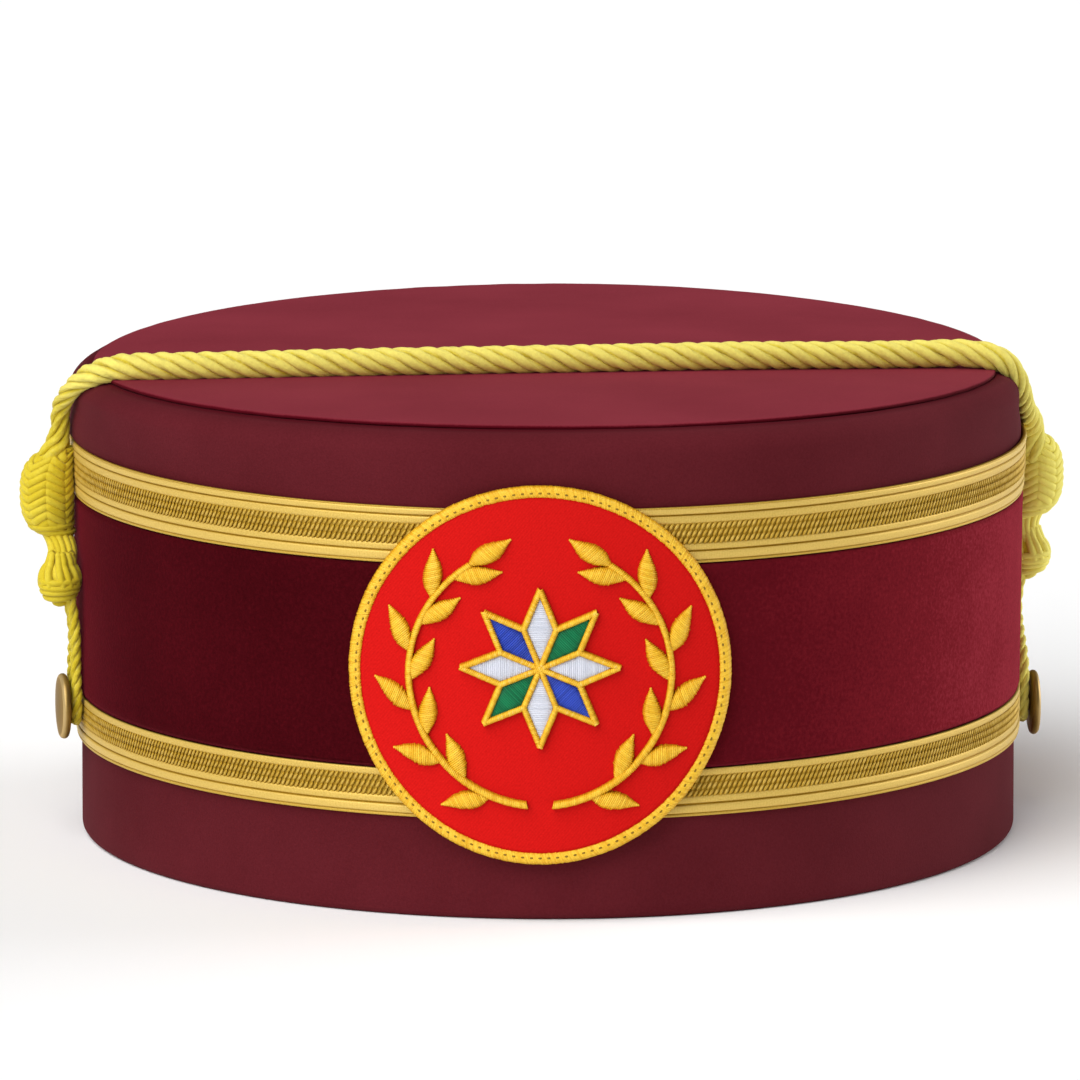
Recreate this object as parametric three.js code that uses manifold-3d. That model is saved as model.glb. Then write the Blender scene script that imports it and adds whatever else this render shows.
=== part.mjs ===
// A round crown cap: a stiff oval wall of burgundy cloth with a flat top, a velvet band between two gold
// laces, a round embroidered badge on the front, and a gold rope over the top that is knotted and looped
// to a brass button at each side. Millimetres, +Z up. The origin is the middle of the rim, on the surface
// that the cap stands on, and -Y is the front.
import * as THREE from "three";
import { TessellateModifier } from "three/addons/modifiers/TessellateModifier.js";
import { mergeVertices } from "three/addons/utils/BufferGeometryUtils.js";
import Module from "manifold-3d";

// Crown
const PLAN_RATIO = 1.1; // depth of the oval head over its width
const CLOTH = 2.6; // thickness of the stiffened wall
const GAP = 0.3; // clearance between pieces that touch
const RING_SIDES = 56;
const WALL_SECTIONS = [
  { height: 0, halfWidth: 93.4 },
  { height: 24, halfWidth: 93.4 },
  { height: 66, halfWidth: 93.8 },
  { height: 80, halfWidth: 94.4 },
  { height: 86, halfWidth: 95.3 },
  { height: 89.6, halfWidth: 95.3 },
];
const SHOULDER = { radius: 4.4, steps: 5 };
const SEAM_ALLOWANCE = { reach: 3, thickness: 1.4, gap: 0.5 };
const TOP = { thickness: 2.6, dome: 0.5, edgeRoll: 1.2, rise: 1.0 };
// The cord pulls the crown's edge down at both sides, and presses it in at the right.
const EDGE_DIP = { depth: 1.5, startHeight: 82 };
const CORD_DENT = { depth: 3, sink: 0.15, y: -6, halfLength: 16, low: 79, high: 88, inner: 78 };

// Bands round the wall
const SKIN = 0.7; // how far the velvet and the lace's ground stand off their own inner face
const LACE_UPPER = {
  bottom: 68.5,
  stripes: [
    { kind: "border", width: 2.6, rise: 0.75 },
    { kind: "groove", width: 0.4, rise: 0.4 },
    { kind: "flat", width: 1.8, rise: 0.7 },
    { kind: "braid", width: 3.0, rise: 0.95 },
    { kind: "flat", width: 1.8, rise: 0.7 },
    { kind: "groove", width: 0.4, rise: 0.4 },
    { kind: "border", width: 1.0, rise: 0.75 },
  ],
};
const LACE_LOWER = {
  bottom: 19.5,
  stripes: [
    { kind: "border", width: 2.3, rise: 0.75 },
    { kind: "groove", width: 0.4, rise: 0.4 },
    { kind: "flat", width: 1.5, rise: 0.7 },
    { kind: "braid", width: 3.5, rise: 0.95 },
    { kind: "flat", width: 1.4, rise: 0.7 },
  ],
};

// Badge on the front
const PATCH = { x: -1.5, height: 47.9, radius: 36.5, halfDepth: 105.1, thickness: 1.1, rings: 5, sides: 40 };
const PATCH_EDGE = { width: 2.6, thickness: 1.7, sides: 44 };
const RELIEF = 0.7; // thickness of the raised embroidery
const STEM = { radius: 25, width: 1.1, startAngle: -84, endAngle: 58, steps: 16 };
const LEAF = { length: 9.6, width: 3.5, firstAngle: -68, lastAngle: 48, count: 10, tilt: 34, curveSteps: 3 };
const STAR = { points: 8, side: 8.1, centreHeight: 1.5, longestEdge: 6 };

// Cord, knots and buttons
const ROPE = { radius: 2.5, sides: 8, steps: 62 };
const ROPE_ROUTE = [
  { x: -97.2, y: -16.2, z: 79.4 },
  { x: -96.6, y: -18.0, z: 82.4 },
  { x: -96.2, y: -21.0, z: 86.8 },
  { x: -94.4, y: -25.5, z: 91.6 },
  { x: -90.6, y: -29.0, z: 94.8 },
  { x: -84.5, y: -31.8, z: 97.0 },
  { x: -75.0, y: -33.4, z: 97.2 },
  { x: -60.0, y: -34.4, z: 97.5 },
  { x: -42.0, y: -34.8, z: 97.9 },
  { x: -22.0, y: -34.2, z: 98.2 },
  { x: 0.0, y: -32.4, z: 98.3 },
  { x: 22.0, y: -29.6, z: 98.2 },
  { x: 42.0, y: -26.0, z: 98.0 },
  { x: 60.0, y: -21.6, z: 97.6 },
  { x: 74.0, y: -17.8, z: 97.1 },
  { x: 82.0, y: -16.0, z: 96.8 },
  { x: 88.0, y: -15.3, z: 96.0 },
  { x: 91.4, y: -14.6, z: 94.5 },
  { x: 93.8, y: -13.2, z: 92.2 },
  { x: 95.1, y: -10.6, z: 89.4 },
  { x: 95.8, y: -6.4, z: 86.6 },
  { x: 96.7, y: -1.2, z: 84.0 },
  { x: 97.3, y: 4.8, z: 81.6 },
  { x: 97.7, y: 10.6, z: 79.4 },
  { x: 97.4, y: 15.0, z: 77.2 },
];
const CORD_SIDES = [
  { name: "left", sign: -1, drop: 0, largeKnotY: -16, smallKnotY: -22, buttonY: -21, buttonHeight: 27 },
  { name: "right", sign: 1, drop: 2.6, largeKnotY: 18, smallKnotY: 18, buttonY: 9, buttonHeight: 22.2 },
];
const LARGE_KNOT = { bottom: 60.1, top: 78.1, radius: 5.3 };
const SMALL_KNOT = { bottom: 48.2, top: 57, radius: 4.1 };
const BUNDLE = { radius: 2.6, sides: 12 };
const KNOT_SIDES = 14;
const LOOP = { radius: 1.15, sides: 8, steps: 22 };
const LOOP_LEG = [
  { from: "knot", rise: 0, spread: 0.46, lift: 1.4 },
  { from: "knot", rise: -5, spread: 0.46, lift: 0.4 },
  { from: "button", rise: 8, spread: 0.8, lift: 0 },
  { from: "button", rise: 1, spread: 1, lift: 0 },
  { from: "button", rise: -2, spread: 0.7, lift: 0 },
];
const BUTTON = { shankRadius: 1.4, headRadius: 6.5, headThickness: 2.5, sides: 24 };

// Colours of the materials
const BURGUNDY = 0x64202a;
const BURGUNDY_TOP = 0x7c2c38;
const VELVET = 0x560c18;
const LACE_GOLD = 0xd9b860;
const PATCH_RED = 0xd8201c;
const THREAD_GOLD = 0xf0b828;
const ROPE_GOLD = 0xd8c848;
const BRASS = 0xb08d57;

const wasm = await Module();
wasm.setup();

const SHOULDER_HEIGHT = WALL_SECTIONS.at(-1).height;
const SHOULDER_HALF_WIDTH = WALL_SECTIONS.at(-1).halfWidth;
const SEAM_HEIGHT = SHOULDER_HEIGHT + SHOULDER.radius;
const SEAM_HALF_WIDTH = SHOULDER_HALF_WIDTH - SHOULDER.radius;
const LEDGE_HALF_WIDTH = SEAM_HALF_WIDTH - SEAM_ALLOWANCE.reach;
const SKIN_OUTSIDE = GAP + SKIN; // from the wall to the outside of the velvet and the lace

// Outside half-width of the wall at a height, between the sections of the table.
function halfWidthAt(height) {
  const above = WALL_SECTIONS.findIndex((section) => section.height >= height);
  const high = WALL_SECTIONS[Math.max(above, 1)];
  const low = WALL_SECTIONS[Math.max(above, 1) - 1];
  return THREE.MathUtils.mapLinear(height, low.height, high.height, low.halfWidth, high.halfWidth);
}

// Level direction straight out from the oval wall at one of its points.
function outwardsAt(point) {
  return new THREE.Vector3(point.x * PLAN_RATIO ** 2, point.y, 0).normalize();
}

// A point at the cap's side, `stand` straight out from the wall at a given depth and height.
function sidePoint(sign, y, height, stand) {
  const halfWidth = halfWidthAt(height);
  const across = Math.sqrt(1 - (y / (halfWidth * PLAN_RATIO)) ** 2);
  const wall = new THREE.Vector3(sign * halfWidth * across, y, height);
  return wall.addScaledVector(outwardsAt(wall), stand);
}

// Moves every vertex of a geometry by a function that changes the point in place.
function reshape(geometry, move) {
  const position = geometry.getAttribute("position");
  const point = new THREE.Vector3();
  for (let i = 0; i < position.count; i += 1) {
    move(point.fromBufferAttribute(position, i));
    position.setXYZ(i, point.x, point.y, point.z);
  }
  geometry.computeVertexNormals();
  return geometry;
}

// An oval solid of revolution about Z from a profile of [half-width, height] pairs.
function ovalLathe(profile) {
  const points = profile.map(([halfWidth, height]) => new THREE.Vector2(halfWidth, height));
  return new THREE.LatheGeometry(points, RING_SIDES).rotateX(Math.PI / 2).scale(1, PLAN_RATIO, 1);
}

// Lowers the crown's edge towards its sides, and presses it in under the cord at the right.
function pullEdge(geometry) {
  return reshape(geometry, (point) => {
    const dip = THREE.MathUtils.smoothstep(point.z, EDGE_DIP.startHeight, SEAM_HEIGHT);
    const along = Math.exp(-(((point.y - CORD_DENT.y) / CORD_DENT.halfLength) ** 2));
    const up = THREE.MathUtils.smoothstep(point.z, CORD_DENT.low, CORD_DENT.high);
    const out = THREE.MathUtils.smoothstep(point.x, CORD_DENT.inner, SEAM_HALF_WIDTH);
    const dent = CORD_DENT.depth * along * up * out;
    point.z -= EDGE_DIP.depth * dip * (point.x / SHOULDER_HALF_WIDTH) ** 2 + CORD_DENT.sink * dent;
    point.x -= dent;
  });
}

function crownWall() {
  const outside = WALL_SECTIONS.map(({ height, halfWidth }) => [halfWidth, height]);
  for (let step = 1; step <= SHOULDER.steps; step += 1) {
    const angle = (step / SHOULDER.steps) * (Math.PI / 2);
    const halfWidth = SEAM_HALF_WIDTH + SHOULDER.radius * Math.cos(angle);
    outside.push([halfWidth, SHOULDER_HEIGHT + SHOULDER.radius * Math.sin(angle)]);
  }
  const ledge = SEAM_HEIGHT - TOP.thickness - SEAM_ALLOWANCE.gap + TOP.rise - TOP.edgeRoll;
  const ledgeUnder = ledge - SEAM_ALLOWANCE.thickness;
  const inside = [
    [SEAM_HALF_WIDTH, ledge],
    [LEDGE_HALF_WIDTH, ledge],
    [LEDGE_HALF_WIDTH, ledgeUnder],
    [SHOULDER_HALF_WIDTH - CLOTH - SHOULDER.radius / 2, ledgeUnder],
    [SHOULDER_HALF_WIDTH - CLOTH, ledgeUnder - SHOULDER.radius / 2],
    [WALL_SECTIONS[0].halfWidth - CLOTH, 0],
  ];
  return pullEdge(ovalLathe([...outside, ...inside, outside[0]]));
}

function crownTop() {
  const edge = SEAM_HALF_WIDTH - GAP;
  const under = SEAM_HEIGHT - TOP.thickness + TOP.rise - TOP.edgeRoll;
  const flat = SEAM_HEIGHT + TOP.rise;
  const roll = [
    [edge, flat - TOP.edgeRoll],
    [edge - TOP.edgeRoll * 0.3, flat - TOP.edgeRoll * 0.3],
    [edge - TOP.edgeRoll, flat],
  ];
  const rings = [LEDGE_HALF_WIDTH, LEDGE_HALF_WIDTH / 2, 0];
  const dome = rings.map((halfWidth) => [halfWidth, flat + TOP.dome * (1 - (halfWidth / edge) ** 2)]);
  return pullEdge(ovalLathe([[0, under], [LEDGE_HALF_WIDTH, under], [edge, under], ...roll, ...dome]));
}

function velvetBand() {
  const laceTop = LACE_LOWER.stripes.reduce((height, stripe) => height + stripe.width, LACE_LOWER.bottom);
  const heights = [laceTop + GAP, WALL_SECTIONS[2].height, LACE_UPPER.bottom - GAP];
  const outside = heights.map((height) => [halfWidthAt(height) + SKIN_OUTSIDE, height]);
  const inside = heights.map((height) => [halfWidthAt(height) + GAP, height]).reverse();
  return ovalLathe([...outside, ...inside, outside[0]]);
}

// A lace's outside, stripe by stripe from its bottom: a groove is a notch and a braid is a ridge.
function lace({ bottom, stripes }) {
  const outside = [];
  let height = bottom;
  for (const { kind, width, rise } of stripes) {
    const shares = kind === "groove" ? [0.5] : [0, 1];
    const inset = kind === "braid" ? 0.1 : 0;
    for (const share of shares) {
      const at = height + width * THREE.MathUtils.lerp(inset, 1 - inset, share);
      outside.push([halfWidthAt(at) + GAP + rise, at]);
    }
    height += width;
  }
  const inside = [height, bottom].map((at) => [halfWidthAt(at) + GAP, at]);
  return ovalLathe([...outside, ...inside, outside[0]]);
}

// Bends a piece made flat, with x across, y up and z towards the viewer, round the front of the cap.
function bendOntoFront(geometry) {
  return reshape(geometry, (point) => {
    const halfDepth = PATCH.halfDepth + point.z;
    const halfWidth = PATCH.halfDepth / PLAN_RATIO + point.z;
    const x = PATCH.x + point.x;
    point.set(x, -halfDepth * Math.sqrt(1 - (x / halfWidth) ** 2), PATCH.height + point.y);
  });
}

function patchLathe(profile, sides) {
  const points = profile.map(([radius, out]) => new THREE.Vector2(radius, out));
  return bendOntoFront(new THREE.LatheGeometry(points, sides).rotateX(Math.PI / 2));
}

function patchGround() {
  const radius = PATCH.radius - PATCH_EDGE.width - GAP;
  const shares = Array.from({ length: PATCH.rings + 1 }, (_, ring) => ring / PATCH.rings);
  const back = shares.map((share) => [radius * share, 0]);
  const front = shares.map((share) => [radius * share, PATCH.thickness]).reverse();
  return patchLathe([...back, ...front], PATCH.sides);
}

function patchBorder() {
  const { width, thickness, sides } = PATCH_EDGE;
  const section = [
    [0, 0],
    [1, 0],
    [1, 0.5],
    [0.7, 1],
    [0.3, 1],
    [0, 0.6],
    [0, 0],
  ];
  const inner = PATCH.radius - width;
  return patchLathe(section.map(([across, out]) => [inner + across * width, out * thickness]), sides);
}

function toSolid(geometry) {
  const bare = geometry.clone().deleteAttribute("normal").deleteAttribute("uv");
  const merged = mergeVertices(bare);
  const vertProperties = new Float32Array(merged.getAttribute("position").array);
  const triVerts = new Uint32Array(merged.index.array);
  return new wasm.Manifold(new wasm.Mesh({ numProp: 3, vertProperties, triVerts }));
}

function toGeometry(solid) {
  const { vertProperties, triVerts } = solid.getMesh();
  const geometry = new THREE.BufferGeometry();
  geometry.setAttribute("position", new THREE.BufferAttribute(vertProperties, 3));
  return geometry.setIndex(new THREE.BufferAttribute(triVerts, 1));
}

function stemShape() {
  const { radius, width, steps } = STEM;
  const start = THREE.MathUtils.degToRad(STEM.startAngle);
  const end = THREE.MathUtils.degToRad(STEM.endAngle);
  const outer = new THREE.EllipseCurve(0, 0, radius + width / 2, radius + width / 2, start, end);
  const inner = new THREE.EllipseCurve(0, 0, radius - width / 2, radius - width / 2, start, end);
  return new THREE.Shape([...outer.getPoints(steps), ...inner.getPoints(steps).reverse()]);
}

function leafShape() {
  const { length, width } = LEAF;
  const shape = new THREE.Shape();
  shape.moveTo(0, 0);
  shape.quadraticCurveTo(length * 0.45, width, length, 0);
  shape.quadraticCurveTo(length * 0.45, -width, 0, 0);
  return shape;
}

// One leaf, turned away from the stem and placed at an angle round the badge.
function placedLeaf(angle, tilt) {
  const options = { depth: RELIEF, bevelEnabled: false, curveSegments: LEAF.curveSteps };
  const leaf = new THREE.ExtrudeGeometry(leafShape(), options);
  const turn = THREE.MathUtils.degToRad(angle);
  leaf.rotateZ(turn + Math.PI / 2 - THREE.MathUtils.degToRad(tilt));
  return leaf.translate(STEM.radius * Math.cos(turn), STEM.radius * Math.sin(turn), 0);
}

// A laurel branch: leaves leave its stem by turns outwards and inwards, and one ends it.
function wreathBranch(mirrored) {
  const stem = new THREE.ExtrudeGeometry(stemShape(), { depth: RELIEF, bevelEnabled: false });
  let branch = toSolid(stem);
  for (let index = 0; index < LEAF.count; index += 1) {
    const angle = THREE.MathUtils.lerp(LEAF.firstAngle, LEAF.lastAngle, index / (LEAF.count - 1));
    const tilt = index % 2 === 0 ? LEAF.tilt : -LEAF.tilt;
    branch = branch.add(toSolid(placedLeaf(angle, tilt)));
  }
  branch = branch.add(toSolid(placedLeaf(STEM.endAngle - 1, 0)));
  if (mirrored) branch = branch.mirror([1, 0, 0]);
  const lifted = toGeometry(branch).translate(0, 0, PATCH.thickness + GAP);
  return bendOntoFront(lifted);
}

// An eight-pointed star of lozenges that share the middle.
function badgeStar() {
  const { points, side } = STAR;
  const sector = (2 * Math.PI) / points;
  const tip = 2 * side * Math.cos(sector / 2);
  const outline = [];
  for (let index = 0; index < points; index += 1) {
    const angle = index * sector + Math.PI / 2;
    outline.push(new THREE.Vector2(tip * Math.cos(angle), tip * Math.sin(angle)));
    const notch = angle + sector / 2;
    outline.push(new THREE.Vector2(side * Math.cos(notch), side * Math.sin(notch)));
  }
  const plate = new THREE.ExtrudeGeometry(new THREE.Shape(outline), { depth: RELIEF, bevelEnabled: false });
  const fine = new TessellateModifier(STAR.longestEdge, points).modify(plate);
  return bendOntoFront(fine.translate(0, STAR.centreHeight, PATCH.thickness + GAP));
}

// A solid tube of round section along a smooth curve through the points.
function tube(points, { radius, sides, steps }) {
  const circle = new THREE.EllipseCurve(0, 0, radius, radius);
  const section = new THREE.Shape(circle.getPoints(sides).slice(0, sides));
  const extrudePath = new THREE.CatmullRomCurve3(points);
  return new THREE.ExtrudeGeometry(section, { steps, bevelEnabled: false, extrudePath });
}

function crownCord() {
  return tube(ROPE_ROUTE.map(({ x, y, z }) => new THREE.Vector3(x, y, z)), ROPE);
}

// The thin cord's two legs come down from the small knot, spread round the button's shank and meet below it.
function buttonLoop({ sign, drop, smallKnotY, buttonY, buttonHeight }) {
  const bow = BUTTON.shankRadius + GAP + LOOP.radius;
  const knotEnd = SMALL_KNOT.bottom - GAP - drop;
  const leg = LOOP_LEG.map(({ from, rise, spread, lift }) => ({
    middle: from === "knot" ? smallKnotY : buttonY,
    height: (from === "knot" ? knotEnd : buttonHeight) + rise,
    aside: bow * spread,
    lift,
  }));
  const lowest = { middle: buttonY, height: buttonHeight - bow, aside: 0, lift: 0 };
  const otherLeg = leg.map((row) => ({ ...row, aside: -row.aside })).reverse();
  const points = [...leg, lowest, ...otherLeg].map(({ middle, height, aside, lift }) => {
    return sidePoint(sign, middle + aside, height, SKIN_OUTSIDE + GAP + LOOP.radius + lift);
  });
  return tube(points, LOOP);
}

// A barrel-shaped knot about Z, centred on its own origin.
function knot({ bottom, top, radius }) {
  const half = (top - bottom) / 2;
  const barrel = [
    [0, -1],
    [0.62, -1],
    [0.92, -0.66],
    [1, -0.1],
    [0.95, 0.4],
    [0.74, 0.84],
    [0.5, 1],
    [0, 1],
  ];
  const points = barrel.map(([across, up]) => new THREE.Vector2(across * radius, up * half));
  return new THREE.LatheGeometry(points, KNOT_SIDES).rotateX(Math.PI / 2);
}

function strandBundle() {
  const height = LARGE_KNOT.bottom - SMALL_KNOT.top - 2 * GAP;
  return new THREE.CylinderGeometry(BUNDLE.radius, BUNDLE.radius, height, BUNDLE.sides).rotateX(Math.PI / 2);
}

// A domed button about Y, its shank starting just off the lace and its head clear of the cord's loop.
function button() {
  const { shankRadius, headRadius, headThickness, sides } = BUTTON;
  const foot = SKIN_OUTSIDE + GAP;
  const under = foot + 2 * LOOP.radius + GAP;
  const dome = [
    [0.93, 0],
    [1, 0.16],
    [0.98, 0.36],
    [0.82, 0.68],
    [0.5, 0.9],
    [0, 1],
  ];
  const head = dome.map(([across, out]) => [across * headRadius, under + out * headThickness]);
  const profile = [[0, foot], [shankRadius, foot], [shankRadius, under], ...head];
  return new THREE.LatheGeometry(profile.map(([r, out]) => new THREE.Vector2(r, out)), sides);
}

function mesh(name, geometry, color, roughness = 0.8, metalness = 0) {
  const made = new THREE.Mesh(geometry, new THREE.MeshStandardMaterial({ color, roughness, metalness }));
  made.name = name;
  return made;
}

const crown = new THREE.Group();
crown.add(mesh("crown_wall", crownWall(), BURGUNDY));
crown.add(mesh("crown_top", crownTop(), BURGUNDY_TOP));
crown.add(mesh("velvet_band", velvetBand(), VELVET, 0.95));
crown.add(mesh("lace_upper", lace(LACE_UPPER), LACE_GOLD, 0.5, 0.4));
crown.add(mesh("lace_lower", lace(LACE_LOWER), LACE_GOLD, 0.5, 0.4));

const badge = new THREE.Group();
badge.add(mesh("patch_ground", patchGround(), PATCH_RED));
badge.add(mesh("patch_border", patchBorder(), THREAD_GOLD, 0.6));
badge.add(mesh("wreath_left", wreathBranch(true), THREAD_GOLD, 0.5));
badge.add(mesh("wreath_right", wreathBranch(false), THREAD_GOLD, 0.5));
badge.add(mesh("badge_star", badgeStar(), THREAD_GOLD, 0.5));

const cords = new THREE.Group();
cords.add(mesh("crown_cord", crownCord(), ROPE_GOLD));
for (const side of CORD_SIDES) {
  const { name, sign, drop, largeKnotY, smallKnotY, buttonY, buttonHeight } = side;
  const knotStand = SKIN_OUTSIDE + GAP;

  const largeKnot = mesh(`knot_large_${name}`, knot(LARGE_KNOT), ROPE_GOLD);
  const largeHeight = (LARGE_KNOT.bottom + LARGE_KNOT.top) / 2 - drop;
  largeKnot.position.copy(sidePoint(sign, largeKnotY, largeHeight, knotStand + LARGE_KNOT.radius));

  const smallKnot = mesh(`knot_small_${name}`, knot(SMALL_KNOT), ROPE_GOLD);
  const smallHeight = (SMALL_KNOT.bottom + SMALL_KNOT.top) / 2 - drop;
  smallKnot.position.copy(sidePoint(sign, smallKnotY, smallHeight, knotStand + SMALL_KNOT.radius));

  const bundle = mesh(`strand_bundle_${name}`, strandBundle(), ROPE_GOLD);
  bundle.position.lerpVectors(largeKnot.position, smallKnot.position, 0.5);
  bundle.position.z = (LARGE_KNOT.bottom + SMALL_KNOT.top) / 2 - drop;

  const loop = mesh(`button_loop_${name}`, buttonLoop(side), ROPE_GOLD);

  const domed = mesh(`button_${name}`, button(), BRASS, 0.35, 1);
  domed.position.copy(sidePoint(sign, buttonY, buttonHeight, 0));
  domed.quaternion.setFromUnitVectors(new THREE.Vector3(0, 1, 0), outwardsAt(domed.position));

  cords.add(largeKnot, smallKnot, bundle, loop, domed);
}

const cap = new THREE.Group();
cap.add(crown, badge, cords);

export default cap;
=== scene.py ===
"""Looks of a crown cap: burgundy cloth, a velvet band, gold laces, a stitched badge and a gold cord."""

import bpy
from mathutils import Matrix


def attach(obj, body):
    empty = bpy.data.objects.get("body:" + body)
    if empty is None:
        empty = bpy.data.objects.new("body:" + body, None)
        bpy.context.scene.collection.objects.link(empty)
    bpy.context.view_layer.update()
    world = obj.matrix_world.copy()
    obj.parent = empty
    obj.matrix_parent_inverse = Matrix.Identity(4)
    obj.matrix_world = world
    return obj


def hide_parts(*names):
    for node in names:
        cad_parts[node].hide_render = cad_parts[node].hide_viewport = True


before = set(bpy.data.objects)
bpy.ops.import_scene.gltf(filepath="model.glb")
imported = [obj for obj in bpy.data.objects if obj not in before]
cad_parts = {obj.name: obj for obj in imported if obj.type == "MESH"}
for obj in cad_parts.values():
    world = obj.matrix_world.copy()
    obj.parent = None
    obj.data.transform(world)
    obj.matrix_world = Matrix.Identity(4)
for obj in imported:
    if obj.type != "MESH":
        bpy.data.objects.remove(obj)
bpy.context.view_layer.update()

import math
from types import SimpleNamespace as Sizes

import bpy
import numpy as np
from mathutils import Vector

MM = 0.001  # every length below is in millimetres
TURN = 2 * math.pi
UP = np.array([0, 0, 1.0])
MIDDLE = 0.02  # radius of the last ring where a round face closes
PLAIN_SHADE = 0.5  # a point's shade is its place on the material's colour ramp
# Painted shade in the seam and under the top's edge
SEAM_PAINTED_SHADE = 0.0
WAVE_SIZES = (0.5, 1.0)  # smallest and largest wave in an unevenness

# Crown
PLAN_RATIO = 1.1  # depth of the oval over its width
CLOTH = 2.6
GAP = 0.3
RING_SIDES = 480
SECTION_HEIGHTS = (0, 24, 66, 80, 86, 89.6)
SECTION_HALF_WIDTHS = (93.4, 93.4, 93.8, 94.4, 95.3, 95.3)
SECTION_BLEND = 2.0  # how far up and down each corner is rounded off
WALL_ROWS = Sizes(hem=9, plain=27, plain_top=78.0, fine=10, fine_bottom=79.2, shoulder=12)
SHOULDER_RADIUS = 4.4
SHOULDER_TURN = 76.0  # degrees that the shoulder turns in before it goes down into the seam
SHOULDER_HEIGHT = SECTION_HEIGHTS[-1]
SHOULDER_HALF_WIDTH = SECTION_HALF_WIDTHS[-1]
SEAM_HEIGHT = SHOULDER_HEIGHT + SHOULDER_RADIUS
SEAM_HALF_WIDTH = SHOULDER_HALF_WIDTH - SHOULDER_RADIUS
LIP_PAINTED_SHADE = 0.38  # painted shade on the shoulder's last row, next to the crease
CREASE = (  # how far out from the seam and down from it the wall goes in, and the painted shade there
    (0.45, 0.0, 0.25),
    (0.1, -0.1, 0.1),
    (-0.3, -0.2, 0.0),
    (-0.75, 1.2, 0.0),
)
LEDGE = Sizes(reach=3.0, top=90.7, thickness=1.4, fillet=2.2)
INSIDE = Sizes(top=87.0, shares=(0.25, 0.5, 0.75))  # rows down the inside of the wall
TOP = Sizes(under=91.2, flat=95.0, dome=0.5, roll=0.45)
TOP_RIM = Sizes(start=-120.0, end=90.0, rows=15, shaded=1.5)  # degrees, and radians for its painted shade
TOP_RINGS = Sizes(inset=0.8, fine=12, fine_end=76.0, plain=18, start=72.0, end=4.0, last=(2.0, 0.8))
TOP_SWELL = Sizes(height=0.1, inner=15.0, outer=70.0, waves=(2, 3, 4, 6), seed=3)
EDGE_DIP = Sizes(depth=1.5, start=82.0)
CORD_DENT = Sizes(depth=1.7, sink=0.15, y=-4.0, half_length=15.0, low=79.0, high=88.0, inner=78.0)
PUCKER = Sizes(depth=0.035, reach=3.5, shift=0.02, steady=0.6)
PUCKER_WAVES = Sizes(gathers=range(22, 70, 6), gather_seed=5, changes=(3, 5, 8), change_seed=6)
SAG = (  # how far the stiffened cloth wanders from a true oval, and the heights between which that sets in
    Sizes(depth=0.22, low=0.0, high=30.0, waves=(2, 3, 5, 7), seed=1),
    Sizes(depth=0.11, low=78.0, high=88.0, waves=(4, 9, 11), seed=2),
)
PUFF = Sizes(depth=1.3, spread=0.2, rise=(78.6, 80.0), fade=(81.0, 89.0))  # a swelling at the left

# Bands round the wall
SKIN = 0.7
SKIN_OUTSIDE = GAP + SKIN
VELVET = Sizes(rows=40, inside_step=8, tuck=0.25, uneven=0.12, waves=(3, 5, 8, 13), seed=8)
LACE_UPPER = Sizes(
    bottom=68.5,
    stripes=(  # from the bottom: kind, width and height
        ("selvedge", 0.5, 0.62),
        ("line", 0.12, 0.52),
        ("border", 1.65, 0.78),
        ("groove", 0.26, 0.42),
        ("flat", 1.25, 0.72),
        ("braid", 4.1, 0.46),
        ("flat", 1.42, 0.72),
        ("groove", 0.26, 0.42),
        ("border", 1.14, 0.76),
        ("selvedge", 0.3, 0.62),
    ),
)
LACE_LOWER = Sizes(
    bottom=19.5,
    stripes=(
        ("selvedge", 0.55, 0.62),
        ("line", 0.12, 0.52),
        ("border", 1.55, 0.78),
        ("groove", 0.28, 0.42),
        ("flat", 1.3, 0.72),
        ("braid", 4.0, 0.46),
        ("flat", 1.3, 0.72),
    ),
)
# The groove, the line and the braid's channel are darker: painted shade in these recesses
LACE_SHADES = {"selvedge": 0.5, "line": 0.42, "border": 0.7, "groove": 0.24, "flat": 0.66, "braid": 0.34}
THIN_STRIPES = ("groove", "line")
PADDED_STRIPES = ("border", "flat", "selvedge")
STRIPE = Sizes(inset=0.06, rows=9, thin_rows=3, set_back=0.1, swell=0.12)
BRAID = Sizes(rows=3, pitch=1.06, shift=0.66, lean=55.0, stray=0.05, lift=0.12, seed=17)
BEAD = Sizes(length=1.9, width=0.76, depth=0.5, sides=5, end=0.05, shade=(0.55, 0.75))
BEAD_PAINTED_SHADE = Sizes(at_ends=0.4, at_foot=0.5, foot=-0.2, crest=0.9)  # painted shade at its ends and its foot
OVAL_STEPS = 4000  # for the length along the oval

# Badge
PATCH = Sizes(x=-1.5, height=47.9, half_depth=105.1, radius=36.5)  # half_depth is the cap's, behind it
PATCH_CLOTH = Sizes(thickness=1.1, hem=0.1, rings=40, sides=160)
PATCH_EDGE = Sizes(width=2.45, thickness=1.7, inset=0.16, foot=0.25, crown=1.25, round=0.55)
PATCH_CORE = Sizes(width=0.97, height=0.93, sunk=0.12, inset=0.1, sides=240)
OVERLOCK = Sizes(count=900, points=10, radius=0.17, sides=5, slant=0.012, seed=23)
OVERLOCK_STRAY = Sizes(along=0.08, across=0.03, up=0.012)
# crown: the threads' shades on top; foot: painted shade where they go down at the edges
OVERLOCK_SHADE = Sizes(crown=(0.6, 0.9), foot=0.35)
# The sunk stitches take the darkest shade: painted shade
STITCHES = Sizes(count=132, points=5, half_length=0.2, radius=0.2, sides=6, shade=0.0)
STITCH_LINE = Sizes(inset=0.15, groove=0.07, half_width=0.3, sunk=0.16, curve=0.1)
EMBROIDERY = Sizes(foot=1.0, low=1.4, high=2.35, edge=0.2, thread=0.235, pitch=0.37)
SATIN = Sizes(points=9, sides=5, ragged=0.035, uneven=0.012, lustre=(0.5, 1.0), shade=(0.25, 0.85))
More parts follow.
